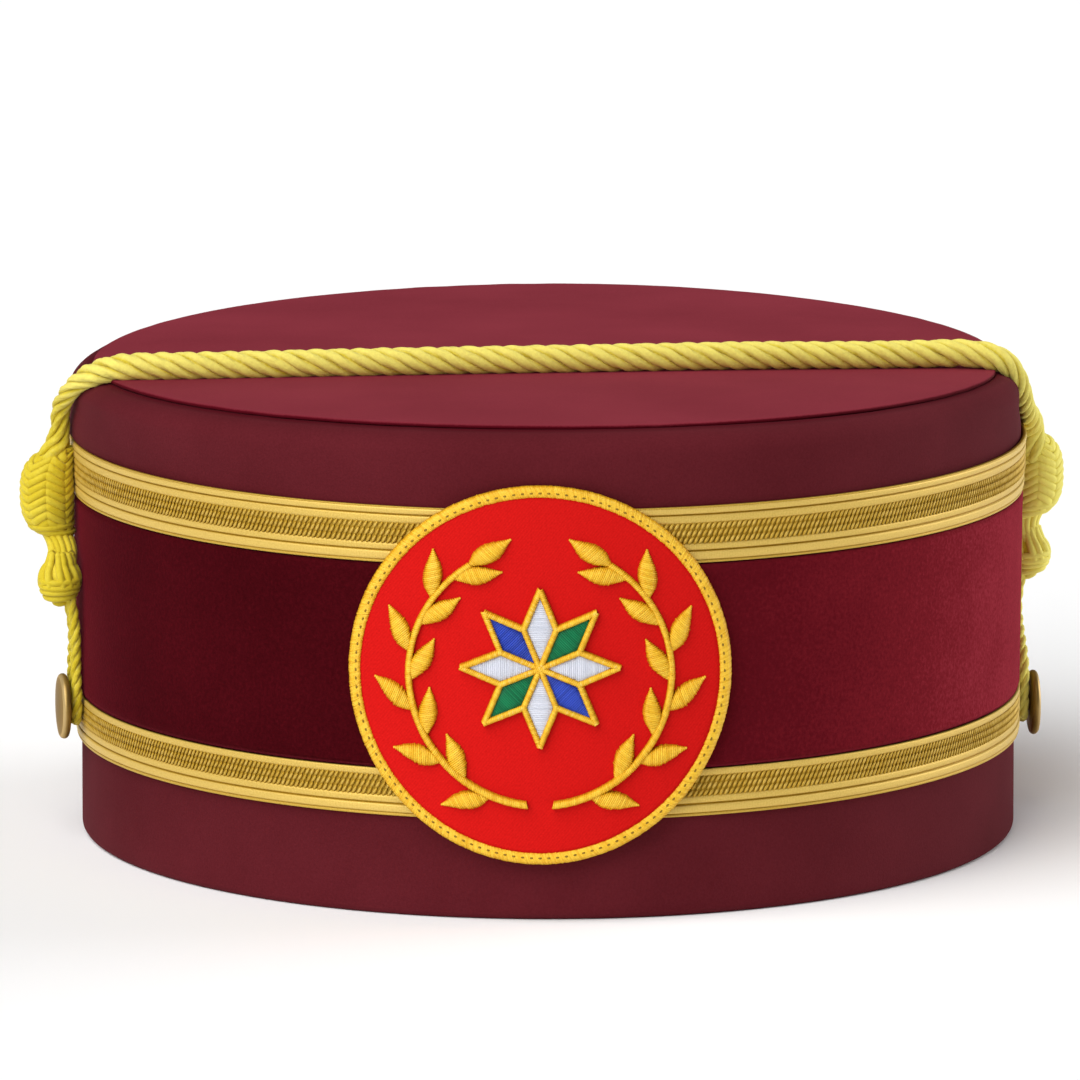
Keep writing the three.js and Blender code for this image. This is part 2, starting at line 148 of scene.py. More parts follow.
# The stem's ends, the leaves' places and their tilt are in degrees
STEM = Sizes(radius=25.0, width=1.3, start=-84.0, end=58.0, taper=0.3, slant=0.35, seed=40)
LEAF = Sizes(length=9.6, width=3.5, first=-68.0, last=48.0, tip=57.0, count=10, tilt=34.0)
LEAF_STITCH = Sizes(start=0.25, belly=0.9, point=1.2, least=0.02, slant=0.3, seed=50)
STAR = Sizes(points=8, side=8.1, centre=1.5, start=1.4, tip=0.9, inset=0.12, fullness=0.6, seed=80)
STAR_OUTLINE = Sizes(width=1.0, slant=0.25, seed=100, overrun=0.1)
WHITE, BLUE, GREEN = 1.1, 2.1, 3.1  # where each colour of the star starts on the scale of shades
STAR_FILLS = (WHITE, BLUE, WHITE, GREEN) * 2
STAR_LUSTRE = 0.7
STAR_SHADES = 4.0  # the whole scale

# Cord, knots and buttons
ROPE = Sizes(
    radius=2.85, strands=5, strand=1.1, lay=21.5, yarns=4, yarn_lay=30.0, groove=0.18, sides=22, step=0.5,
    shade=(0.6, 0.7), seed=31,
    valley=Sizes(low=0.25, high=0.8, change=-0.3),  # painted shade between its strands, a deeper gold
)
ROPE_PULL = Sizes(share=0.31, rise=(76.0, 84.0), fade=(91.0, 97.0))  # it thins over the crown's edge
ROPE_PAINTED_LIGHT = Sizes(low=84.0, high=95.0, left=-0.4, right=0.2)  # painted shade at the left and painted light at the right, where it hangs down
ROPE_ROUTE = (
    (-97.0, -17.6, 79.2),
    (-96.5, -18.6, 82.4),
    (-96.1, -20.8, 86.7),
    (-93.8, -25.2, 91.0),
    (-90.2, -28.8, 94.1),
    (-84.4, -31.6, 96.1),
    (-75.0, -33.4, 96.7),
    (-60.0, -34.4, 97.1),
    (-42.0, -34.8, 97.6),
    (-22.0, -34.2, 97.9),
    (0.0, -32.4, 98.0),
    (22.0, -29.6, 98.0),
    (42.0, -26.0, 97.8),
    (60.0, -21.6, 97.2),
    (74.0, -17.8, 96.9),
    (82.0, -16.0, 96.8),
    (87.8, -15.2, 95.9),
    (91.0, -14.2, 94.2),
    (92.9, -12.4, 91.8),
    (93.9, -9.4, 89.2),
    (94.6, -5.2, 86.6),
    (95.3, 0.0, 84.0),
    (96.2, 5.8, 81.6),
    (96.9, 11.4, 79.3),
    (97.1, 15.4, 77.1),
)
ROPE_START = ((-99.0, -16.4, 71.5), (-98.5, -18.0, 75.4))  # inside the left knot
ROPE_END = ((97.6, 16.6, 74.4), (98.0, 17.4, 70.6))  # inside the right knot
CORD_SIDES = (  # a button is at a y and a height; the shade range paints the left side's knots and loop darker and the right side's lighter: painted shade and painted light
    Sizes(
        name="left", sign=-1, drop=0.0, large_y=-16.0, small_y=-23.0, button=(-21.0, 27.0), shade=(0.0, 0.2)
    ),
    Sizes(
        name="right", sign=1, drop=1.8, large_y=19.0, small_y=19.0, button=(9.0, 22.2), shade=(0.8, 1.0)
    ),
)
LARGE_KNOT = Sizes(
    bottom=60.1, top=78.1, radius=5.5, widest=0.0, fullness=2.8, lean=0.92, strand=0.8, core_rows=25
)
SMALL_KNOT = Sizes(
    bottom=48.2, top=57.0, radius=4.3, widest=0.05, fullness=2.2, lean=0.1, strand=0.68, core_rows=17
)
# The cores are painted a dark gold: painted shade where they show between the strands
KNOT_CORE = Sizes(inset=0.5, sides=40, shade=0.2)
KNOT_SIDES = 8
KNOT_LIMIT = 0.97  # share of a knot's half-height past which it leans no further
WEAVE = Sizes(columns=8, pitch=1.55, slope=0.9, reach=0.66, points=13, flat=0.65, seed=41)
WEAVE_ROWS = Sizes(foot=2.8, over=0.5, top=0.7, stray=0.05, turn=0.02)
# How deep the weave lies is in strands, but the least radius is in millimetres
WEAVE_DEPTH = Sizes(core=1.2, strand=0.65, dive=0.7, dive_from=0.6, least=0.4)
FOOT_WRAPS = Sizes(heights=(0.7, 1.7, 2.7), depth=0.75, seed=43)
SMALL_STRANDS = Sizes(
    core=1.5, over=1.2, end=-0.9, points=14, tuck=0.5, tuck_from=0.8, turn=(-0.1, 0.4), swell=1.2,
    limit=0.95, seed=47,
)
SMALL_WRAPS = Sizes(top=0.3, end=0.9, pitch=1.02, depth=0.8, last=0.6, last_radius=1.3, seed=53)
WRAP = Sizes(points=36, tilt=(0.3, 0.6), lead=1.5)
BUNDLE = Sizes(radius=3.2, strands=12, strand=0.68, overlap=1.6, turn=0.25, bow=0.8, points=10)
BUNDLE_WAIST = Sizes(middle=0.12, below=0.18, below_from=0.7, above=0.85)
BUNDLE_CORE = Sizes(strands=2.1, sides=16)
BUNDLE_STRAY = Sizes(share=0.12, lead_seed=59, shade_seed=61)
LOOP = Sizes(
    radius=1.15, strands=3, strand=0.64, lay=8.4, yarns=4, yarn_lay=12.0, groove=0.12, sides=20, step=0.35,
    seed=37,
    valley=Sizes(low=-0.3, high=0.8, change=0.35),  # painted light between the strands, for light that comes through the thin loops
)
LOOP_LEG = (  # what a point is level with, how far above that, its share of the loop's width, and its lift
    ("knot", 1.2, 0.46, 1.0),
    ("knot", -5.0, 0.46, 0.2),
    ("button", 8.0, 0.8, 0.0),
    ("button", 1.0, 1.0, 0.0),
    ("button", -2.0, 0.7, 0.0),
)
LOOSE = Sizes(waves=range(5, 40, 6), turn=0.012, size=0.02)  # unevenness of a cord's strands
YARN_ROUND = 0.7
STRAND_UV = 10.0  # sets the strands apart in the texture
ROUTE_STEPS = 40
ROUTE_ASIDE = (0.3, 0.2, 1.0)  # a direction that no route starts along
THREAD_END = Sizes(radius=0.35, reach=0.5)  # shares of a thread's radius
BUTTON = Sizes(shank=1.4, flare=0.4, flare_height=0.3, head=6.5, thickness=2.0, edge=0.85, sides=64)
BUTTON_FACE = Sizes(rim_rows=14, rim_end=0.4, rows=20, dome=2.4)
# Painted shade on the shank and under the rim, painted highlight on the rim's shoulder, painted dark
# reflection on the face's middle
BUTTON_PAINTED_LIGHT = Sizes(shank=0.2, edge=0.3, low=-0.2, high=0.9, middle=0.1, face=0.5)

# Colours
# Painted shade in the seam's crease
CREASE_PAINTED_SHADE = (0.075, 0.0014, 0.006)
WALL_CLOTH = Sizes(
    dark=(0.079, 0.0074, 0.0112), light=(0.106, 0.0116, 0.017), sheen=0.02, tint=(0.9, 0.45, 0.5, 1)
)
# Lighter than the wall's cloth: painted light on the top
TOP_CLOTH = Sizes(
    dark=(0.188, 0.0194, 0.031), light=(0.23, 0.0267, 0.0412), sheen=0.01, tint=(0.9, 0.5, 0.55, 1)
)
VELVET_TINT = (0.6, 0.05, 0.09, 1)
CORD_TINT = (1, 0.95, 0.55, 1)
BRASS_TINT = (0.8, 0.55, 0.22, 1)
VELVET_PAINTED_LIGHT = (-20.0, 100.0)  # painted light: between these places across the cap the velvet is painted lighter
VELVET_RAMP = (
    (0.12, (0.025, 0.0007, 0.0018)),
    (0.25, (0.045, 0.0016, 0.0036)),
    (0.5, (0.097, 0.0042, 0.0085)),
    (0.64, (0.16, 0.0088, 0.015)),
    (0.74, (0.255, 0.021, 0.034)),
)
LACE_RAMP = (
    (0.22, (0.14, 0.072, 0.003)),
    (0.42, (0.4, 0.225, 0.011)),
    (0.6, (0.53, 0.34, 0.052)),
    (0.8, (0.7, 0.49, 0.125)),
)
TWILL_RAMP = ((0.25, (0.49, 0.0052, 0.0046)), (0.75, (0.625, 0.0096, 0.0082)))
THREAD_GOLDS = ((0.5, 0.19, 0.003), (0.72, 0.39, 0.013), (0.86, 0.55, 0.045))
THREAD_RAMP = ((0.16, (0.235, 0.135, 0.007)), *zip((0.34, 0.6, 0.85), THREAD_GOLDS))
STAR_RAMP = (  # gold, white, blue and green
    *zip((0.06, 0.13, 0.2), THREAD_GOLDS),
    (0.27, (0.46, 0.49, 0.57)),
    (0.46, (0.7, 0.72, 0.8)),
    (0.52, (0.007, 0.018, 0.19)),
    (0.7, (0.026, 0.07, 0.52)),
    (0.77, (0.001, 0.06, 0.02)),
    (0.95, (0.008, 0.21, 0.08)),
)
CORD_RAMP = (
    (0.2, (0.58, 0.44, 0.017)),
    (0.42, (0.67, 0.54, 0.045)),
    (0.6, (0.75, 0.635, 0.135)),
    (0.75, (0.84, 0.73, 0.15)),
    (0.95, (0.92, 0.82, 0.17)),
)
BRASS_RAMP = ((0.12, (0.13, 0.077, 0.014)), (0.5, (0.3, 0.19, 0.055)), (0.85, (0.56, 0.4, 0.18)))

# Camera and stage
CAMERA = Sizes(place=(0.0, -1949.8, 373.9), target=(0.0, 0.0, 47.6), lens=329.2, shift=(-0.00737, 0.04186))
FLOOR_SIZE = 12.0  # metres, unlike the other lengths
FLOOR_COLOUR = (0.98, 0.98, 0.98, 1)
SKY_COLOUR = (1, 1, 1, 1)
SKY_STRENGTH = 0.13
LIGHTS = (  # the direction that each light comes from, and its spread in degrees
    Sizes(name="soft_key", source=(-0.43, -0.478, 0.766), strength=3.0, spread=60.0),
    Sizes(name="front_fill", source=(-0.497, -0.861, 0.105), strength=1.2, spread=50.0),
    Sizes(name="side_fill", source=(0.896, 0.362, 0.259), strength=2.0, spread=40.0),
)


def smoothstep(value, low, high):
    share = np.clip((np.asarray(value, float) - low) / (high - low), 0, 1)
    return share * share * (3 - 2 * share)


def between(value, rise, fade):
    """One between two heights, with a soft start and a soft end."""
    return smoothstep(value, *rise) * (1 - smoothstep(value, *fade))


def bell(distance, half_width):
    return np.exp(-((distance / half_width) ** 2))


def half_width_at(height):
    """Outside half-width of the wall at a height, with the table's corners rounded off."""
    steps = (-SECTION_BLEND, 0, SECTION_BLEND)
    near = [np.interp(height + step, SECTION_HEIGHTS, SECTION_HALF_WIDTHS) for step in steps]
    return sum(near) / len(near)


def wobble(angle, waves, seed):
    """A smooth, seeded unevenness round the cap, within about one either way."""
    rng = np.random.default_rng(seed)
    total = np.zeros_like(angle)
    for wave in waves:
        total += rng.uniform(*WAVE_SIZES) * np.cos(wave * angle + rng.uniform(0, TURN))
    return total / math.sqrt(len(waves))


def unit(vectors):
    return vectors / np.linalg.norm(vectors, axis=-1, keepdims=True)


def full_circle(count):
    """Evenly spaced angles, once round."""
    return np.arange(count) / count * TURN


def flat_spokes(angle):
    return np.stack([np.cos(angle), np.sin(angle)], -1)


def spokes(angle):
    """Level directions at angles round the Z axis."""
    return np.stack([np.cos(angle), np.sin(angle), 0 * angle], -1)


def oval_spokes(angle):
    """From the axis to an oval of unit half-width, from the front towards +X."""
    return np.stack([np.sin(angle), -np.cos(angle) * PLAN_RATIO, 0 * angle], -1)


def carried_round(profile, rays, axis):
    """A profile of distances along each ray and heights along the axis."""
    return profile[None, :, :1] * rays[:, None] + profile[None, :, 1:] * axis


def travelled(points):
    """Length along a line of points, at each of them."""
    return np.concatenate([[0], np.cumsum(np.linalg.norm(np.diff(points, axis=0), axis=1))])


def outwards_at(point):
    """Level direction straight out from the oval wall."""
    return unit(np.array([point[0] * PLAN_RATIO**2, point[1], 0.0]))


def side_point(sign, y, height, stand):
    """A point at the cap's side, so far straight out from the wall."""
    half_width = np.interp(height, SECTION_HEIGHTS, SECTION_HALF_WIDTHS)
    across = math.sqrt(1 - (y / (half_width * PLAN_RATIO)) ** 2)
    wall = np.array([sign * half_width * across, y, height])
    return wall + outwards_at(wall) * stand


class Shape:
    """Gathers the points, faces, texture coordinates and shades of one piece, in millimetres."""

    def __init__(self):
        self.points = []
        self.faces = []
        self.coordinates = []
        self.shades = []
        self.count = 0

    def add(self, points, faces, coordinates=None, shade=PLAIN_SHADE):
        points = np.asarray(points, float).reshape(-1, 3)
        faces = np.asarray(faces, int)
        if coordinates is None:
            coordinates = np.zeros((*faces.shape, 2))
        self.points.append(points)
        self.faces.append(faces + self.count)
        self.coordinates.append(coordinates.reshape(-1, 2))
        self.shades.append(np.broadcast_to(np.asarray(shade, float), len(points)))
        self.count += len(points)

    def close(self, lids):
        """Flat ends over rims of points that are already there."""
        self.faces.append(lids)
        self.coordinates.append(np.zeros((lids.size, 2)))

    def move(self, function):
        self.points = [function(np.concatenate(self.points))]

    def mirror(self):
        """Swaps left and right, and turns the faces so that they still look outwards."""
        self.move(lambda points: points * (-1, 1, 1))
        self.faces = [faces[:, ::-1] for faces in self.faces]

    def build(self, name, material, node):
        mesh = bpy.data.meshes.new(name)
        faces = [face for group in self.faces for face in group.tolist()]
        mesh.from_pydata(np.concatenate(self.points) * MM, [], faces)
        mesh.shade_smooth()
        uv = mesh.uv_layers.new(name="weave")
        uv.uv.foreach_set("vector", np.concatenate(self.coordinates).astype(np.float32).ravel())
        shade = mesh.attributes.new("shade", "FLOAT", "POINT")
        shade.data.foreach_set("value", np.concatenate(self.shades).astype(np.float32))
        mesh.materials.append(material)
        piece = bpy.data.objects.new(name, mesh)
        bpy.context.scene.collection.objects.link(piece)
        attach(piece, "root")
        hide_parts(node)
        return piece

    def build_at_side(self, look, kind, side, material):
        node = f"{kind}_{side.name}"
        return self.build(f"{look}_{node}", material, node)


def grid_faces(rows, columns, wrap_rows=False, wrap_columns=False):
    """Quads of a grid of points, and each corner's place in the grid, unwrapped."""
    row, column = np.meshgrid(
        np.arange(rows if wrap_rows else rows - 1),
        np.arange(columns if wrap_columns else columns - 1),
        indexing="ij",
    )
    corner_rows = np.stack([row, row + 1, row + 1, row], -1).reshape(-1, 4)
    corner_columns = np.stack([column, column, column + 1, column + 1], -1).reshape(-1, 4)
    faces = (corner_rows % rows) * columns + corner_columns % columns
    return faces, corner_rows, corner_columns


def repeated_faces(faces, count, points_each):
    """The same faces, turned round, for each of so many like forms."""
    offsets = np.arange(count)[:, None, None] * points_each
    return (faces[None, :, ::-1] + offsets).reshape(-1, 4)


def oval_lathe(shape, profile, deform=None, shades=PLAIN_SHADE):
    """A closed profile of half-widths and heights, carried round the oval cap."""
    profile = np.asarray(profile, float)
    angle = full_circle(RING_SIDES)
    points = carried_round(profile, oval_spokes(angle), UP)
    if deform is not None:
        points = deform(points, angle[:, None])
    faces, around, along = grid_faces(RING_SIDES, len(profile), True, True)
    lengths = travelled(np.vstack([profile, profile[:1]]))
    girth = TURN * profile[:, 0].mean() * (1 + PLAN_RATIO) / 2
    coordinates = np.stack([around / RING_SIDES * girth, lengths[along]], -1)
    shape.add(points, faces, coordinates, np.broadcast_to(shades, points.shape[:2]).ravel())


def doubled_ends(rows):
    """Rows of values with each row's first and last one repeated."""
    return np.concatenate([rows[:, :1], rows, rows[:, -1:]], axis=1)


def threads(shape, paths, ups, radius, sides, shade=PLAIN_SHADE, closed=False, flat=1.0):
    """Threads along paths of equal point counts, each with one shade or one for each of its points."""
    paths = np.asarray(paths, float)
    ups = np.broadcast_to(np.asarray(ups, float), paths.shape)
    count, steps, _ = paths.shape
    shades = np.asarray(shade, float)
    shades = np.broadcast_to(shades if shades.ndim == 2 else shades.reshape(-1, 1), (count, steps))
    radii = np.broadcast_to(np.asarray(radius, float), (count, steps))
    if closed:
        along = unit(np.roll(paths, -1, axis=1) - np.roll(paths, 1, axis=1))
    else:
        along = doubled_ends(unit(np.gradient(paths, axis=1)))
        paths, ups, shades, radii = (doubled_ends(rows) for rows in (paths, ups, shades, radii))
        paths[:, 0] -= along[:, 0] * radii[:, :1] * THREAD_END.reach
        paths[:, -1] += along[:, -1] * radii[:, -1:] * THREAD_END.reach
        radii[:, [0, -1]] = radii[:, :1] * THREAD_END.radius
        steps += 2
    across = unit(np.cross(along, ups))
    over = np.cross(across, along) * flat
    turn = full_circle(sides)
    ring = across[:, :, None] * np.cos(turn)[:, None] + over[:, :, None] * np.sin(turn)[:, None]
    points = paths[:, :, None] + radii[:, :, None, None] * ring
    faces, _, _ = grid_faces(steps, sides, closed, True)
    first = shape.count
    all_faces = repeated_faces(faces, count, steps * sides)
    shape.add(points, all_faces, shade=np.repeat(shades.ravel(), sides))
    if not closed:
        starts = first + np.arange(count)[:, None] * steps * sides
        rim = np.arange(sides)
        shape.close(np.concatenate([starts + rim, starts + (steps - 1) * sides + rim[::-1]]))


def pull_edge(points):
    """The cord pulls the crown's edge down at both sides, and presses it in at the right."""
    x, y, z = points[..., 0], points[..., 1], points[..., 2]
    dip = EDGE_DIP.depth * smoothstep(z, EDGE_DIP.start, SEAM_HEIGHT) * (x / SHOULDER_HALF_WIDTH) ** 2
    along = bell(y - CORD_DENT.y, CORD_DENT.half_length)
    up = smoothstep(z, CORD_DENT.low, CORD_DENT.high)
    out = smoothstep(x, CORD_DENT.inner, SEAM_HALF_WIDTH)
    dent = CORD_DENT.depth * along * up * out
    return np.stack([x - dent, y, z - dip - CORD_DENT.sink * dent], -1)


def lean_out(points, lean):
    """Moves points away from the cap's axis, by so many millimetres at the widest place."""
    points[..., :2] *= 1 + (lean / SHOULDER_HALF_WIDTH)[..., None]


def pucker(angle, from_seam):
    """Small gathers that the seam's stitches pull into both cloths."""
    gathers = wobble(angle, PUCKER_WAVES.gathers, PUCKER_WAVES.gather_seed)
    changes = wobble(angle, PUCKER_WAVES.changes, PUCKER_WAVES.change_seed)
    strength = PUCKER.steady + (1 - PUCKER.steady) * changes
    return PUCKER.depth * bell(from_seam, PUCKER.reach) * gathers * strength


def wall_profile():
    """From the hem up the outside, over the shoulder into the seam and down the inside, with the crease's
    painted shade.
    """
    hem = CLOTH / 2
    foot = SECTION_HALF_WIDTHS[0] - hem
    hem_turn = np.linspace(math.pi, TURN, WALL_ROWS.hem)
    hem_arc = np.column_stack([foot + hem * np.cos(hem_turn), hem + hem * np.sin(hem_turn)])
    plain = np.linspace(hem, WALL_ROWS.plain_top, WALL_ROWS.plain)[1:]
    fine = np.linspace(WALL_ROWS.fine_bottom, SHOULDER_HEIGHT, WALL_ROWS.fine)
    heights = np.concatenate([plain, fine])
    outside = np.column_stack([half_width_at(heights), heights])
    turn = np.radians(np.linspace(0, SHOULDER_TURN, WALL_ROWS.shoulder))[1:]
    shoulder = (SEAM_HALF_WIDTH, SHOULDER_HEIGHT) + SHOULDER_RADIUS * flat_spokes(turn)
    crease = [(SEAM_HALF_WIDTH + out, SEAM_HEIGHT - down) for out, down, _ in CREASE]
    ledge_inside = SEAM_HALF_WIDTH - LEDGE.reach
    ledge_under = LEDGE.top - LEDGE.thickness
    inside_top = SHOULDER_HALF_WIDTH - CLOTH
    inside = [
        (crease[-1][0], LEDGE.top),
        (ledge_inside, LEDGE.top),
        (ledge_inside, ledge_under),
        (inside_top - LEDGE.fillet, ledge_under),
        (inside_top, ledge_under - LEDGE.fillet),
    ]
    for share in INSIDE.shares:
        inside.append((inside_top - (inside_top - foot + hem) * share, INSIDE.top * (1 - share)))
    outer = np.vstack([hem_arc, outside, shoulder])
    shades = [PLAIN_SHADE] * (len(outer) - 1) + [LIP_PAINTED_SHADE] + [shade for _, _, shade in CREASE]
    shades += [SEAM_PAINTED_SHADE] + [PLAIN_SHADE] * (len(inside) - 1)
    return np.vstack([outer, crease, inside]), shades


def settle_wall(points, angle):
    z = points[..., 2]
    lean = PUFF.depth * bell(np.cos(angle / 2 - math.pi / 4), PUFF.spread)
    lean = lean * between(z, PUFF.rise, PUFF.fade)
    for sag in SAG:
        growth = smoothstep(z, sag.low, sag.high)
        lean = lean + sag.depth * wobble(angle, sag.waves, sag.seed) * growth
    lean_out(points, lean)
    points[..., 2] = z + pucker(angle, SEAM_HEIGHT - z) * (z > SHOULDER_HEIGHT)
    return pull_edge(points)


def crown_wall(material):
    profile, shades = wall_profile()
    shape = Shape()
    oval_lathe(shape, profile, settle_wall, shades)
    return shape.build("cloth_wall", material, "crown_wall")


def crown_top(material):
    edge = SEAM_HALF_WIDTH - GAP
    roll = TOP.roll
    recess = edge - 2 * roll
    lip = TOP.flat - 2 * roll
    turn = np.radians(np.linspace(TOP_RIM.start, TOP_RIM.end, TOP_RIM.rows))
    rim = (edge - roll, TOP.flat - roll) + roll * flat_spokes(turn)
    fine = np.linspace(edge - roll - TOP_RINGS.inset, TOP_RINGS.fine_end, TOP_RINGS.fine)
    plain = np.linspace(TOP_RINGS.start, TOP_RINGS.end, TOP_RINGS.plain)
    rings = np.concatenate([fine, plain, TOP_RINGS.last, [MIDDLE]])
    dome = np.column_stack([rings, TOP.flat + TOP.dome * (1 - (rings / edge) ** 2)])
    under = [(width, TOP.under) for width in (MIDDLE, edge / 2, recess)] + [(recess, lip)]
    # Painted shade on the rim's underside, down into the seam
    rim_painted_shade = PLAIN_SHADE * smoothstep(turn, 0.0, TOP_RIM.shaded)
    shades = np.concatenate([np.full(len(under), SEAM_PAINTED_SHADE), rim_painted_shade, np.full(len(dome), PLAIN_SHADE)])

    def settle(points, angle):
        r = np.hypot(points[..., 0], points[..., 1] / PLAN_RATIO)
        upper = points[..., 2] > (TOP.under + lip) / 2
        waves = wobble(angle, TOP_SWELL.waves, TOP_SWELL.seed)
        swell = TOP_SWELL.height * waves * smoothstep(r, TOP_SWELL.inner, TOP_SWELL.outer)
        points[..., 2] += (swell + pucker(angle + PUCKER.shift, edge - r)) * upper
        return pull_edge(points)

    shape = Shape()
    oval_lathe(shape, np.vstack([under, rim, dome]), settle, shades)
    return shape.build("cloth_top", material, "crown_top")


def velvet_band(material):
    lace_top = LACE_LOWER.bottom + sum(width for _, width, _ in LACE_LOWER.stripes)
    heights = np.linspace(lace_top + GAP, LACE_UPPER.bottom - GAP, VELVET.rows)
    outside = np.column_stack([half_width_at(heights) + SKIN_OUTSIDE, heights])
    outside[[0, -1], 0] -= VELVET.tuck
    inner = heights[:: -VELVET.inside_step]
    inside = np.column_stack([half_width_at(inner) + GAP, inner])

    def settle(points, angle):
        lean_out(points, VELVET.uneven * wobble(angle, VELVET.waves, VELVET.seed))
        return points

    shape = Shape()
    oval_lathe(shape, np.vstack([outside, inside]), settle)
    return shape.build("velvet_cloth", material, "velvet_band")


def lace_profile(lace):
    """The lace's outside from its bottom: each stripe is a low swell that dips towards its edges."""
    profile, shades = [], []
    height = lace.bottom
    for kind, width, rise in lace.stripes:
        rows = STRIPE.thin_rows if kind in THIN_STRIPES else STRIPE.rows
        padding = STRIPE.swell if kind in PADDED_STRIPES else 0
        for share in np.linspace(STRIPE.inset, 1 - STRIPE.inset, rows):
            swell = padding * (1 - (2 * share - 1) ** 4)
            at = height + width * share
            profile.append((half_width_at(at) + GAP + rise - STRIPE.set_back + swell, at))
            shades.append(LACE_SHADES[kind])
        height += width
    profile += [(half_width_at(at) + GAP, at) for at in (height, lace.bottom)]
    return profile, shades + [LACE_SHADES["groove"]] * 2


def even_angles(shares):
    """Angles round the oval at shares of its girth."""
    fine = np.linspace(0, TURN, OVAL_STEPS + 1)
    travel = travelled(np.column_stack([np.sin(fine), PLAN_RATIO * np.cos(fine)]))
    return np.interp(shares * travel[-1], travel, fine)


def bead():
    """The points of an oval bead of unit half-sizes, its faces, and its painted shading at each point."""
    sides = BEAD.sides
    theta = np.linspace(BEAD.end, math.pi - BEAD.end, sides)
    turn = full_circle(sides) + math.pi / 2
    rings = np.sin(theta)[:, None, None] * flat_spokes(turn)
    ball = np.concatenate([np.broadcast_to(np.cos(theta)[:, None, None], (sides, sides, 1)), rings], -1)
    ball = ball.reshape(-1, 3)
    faces, _, _ = grid_faces(sides, sides, False, True)
    crest = smoothstep(ball[:, 2], BEAD_PAINTED_SHADE.foot, BEAD_PAINTED_SHADE.crest)
    painted_shading = 1 - BEAD_PAINTED_SHADE.at_ends * ball[:, 0] ** 2
    return ball, faces, painted_shading * (BEAD_PAINTED_SHADE.at_foot + (1 - BEAD_PAINTED_SHADE.at_foot) * crest)


def braid_beads(shape, lace):
    """Rows of slanted beads, each row a part of a pitch along from the last, like a flat plait."""
    height = lace.bottom
    for kind, width, rise in lace.stripes:
        if kind == "braid":
            break
        height += width
    half_width = half_width_at(height + width / 2) + GAP + rise
    girth = TURN * half_width * math.sqrt((1 + PLAN_RATIO**2) / 2)
    count = int(girth / BRAID.pitch)
    ball, faces, painted_shading = bead()
    lean = math.radians(BRAID.lean)
    row_height = width / BRAID.rows
    rng = np.random.default_rng(BRAID.seed)
    for row in range(BRAID.rows):
        angle = even_angles((np.arange(count) + BRAID.shift * row) / count)
        out = unit(np.stack([np.sin(angle) * PLAN_RATIO, -np.cos(angle), 0 * angle], -1))
        level = np.stack([-out[:, 1], out[:, 0], 0 * angle], -1)
        middle = height + row_height * (row + 0.5)
        centre = oval_spokes(angle) * half_width + UP * middle + out * BRAID.lift
        leans = lean + rng.normal(0, BRAID.stray, count)[:, None]
        long = np.cos(leans) * level + np.sin(leans) * UP
        wide = -np.sin(leans) * level + np.cos(leans) * UP
        axes = np.stack([long * BEAD.length, wide * BEAD.width, out * BEAD.depth], 1) / 2
        points = centre[:, None] + np.einsum("pk,ckd->cpd", ball, axes)
        shades = np.outer(rng.uniform(*BEAD.shade, count), painted_shading)
        shape.add(points, repeated_faces(faces, count, len(ball)), shade=shades.ravel())


def gold_lace(name, lace, material):
    profile, shades = lace_profile(lace)
    shape = Shape()
    oval_lathe(shape, profile, shades=shades)
    braid_beads(shape, lace)
    return shape.build(f"gold_{name}", material, name)


def bend_onto_front(points):
    """Bends what was made flat, with x across, y up and z outwards, round the front of the cap."""
    x = PATCH.x + points[..., 0]
    half_depth = PATCH.half_depth + points[..., 2]
    half_width = PATCH.half_depth / PLAN_RATIO + points[..., 2]
    y = -half_depth * np.sqrt(1 - (x / half_width) ** 2)
    return np.stack([x, y, PATCH.height + points[..., 1]], -1)


def flat_ring(shape, profile, sides):
    """A closed profile of radii and heights, carried round the badge's middle."""
    points = carried_round(profile, spokes(full_circle(sides)), UP).reshape(-1, 3)
    faces, _, _ = grid_faces(sides, len(profile), True, True)
    shape.add(points, faces, points[faces][..., :2])


def patch_ground(material):
    radius = PATCH.radius - PATCH_EDGE.width + GAP
    rings = np.linspace(MIDDLE, radius, PATCH_CLOTH.rings)
    front = np.column_stack([rings, np.full(len(rings), PATCH_CLOTH.thickness)])
    back = [(radius, PATCH_CLOTH.hem), (radius / 2, 0.0), (MIDDLE, 0.0)]
    shape = Shape()
    flat_ring(shape, np.vstack([front, back]), PATCH_CLOTH.sides)
    shape.move(bend_onto_front)
    return shape.build("badge_ground", material, "patch_ground")


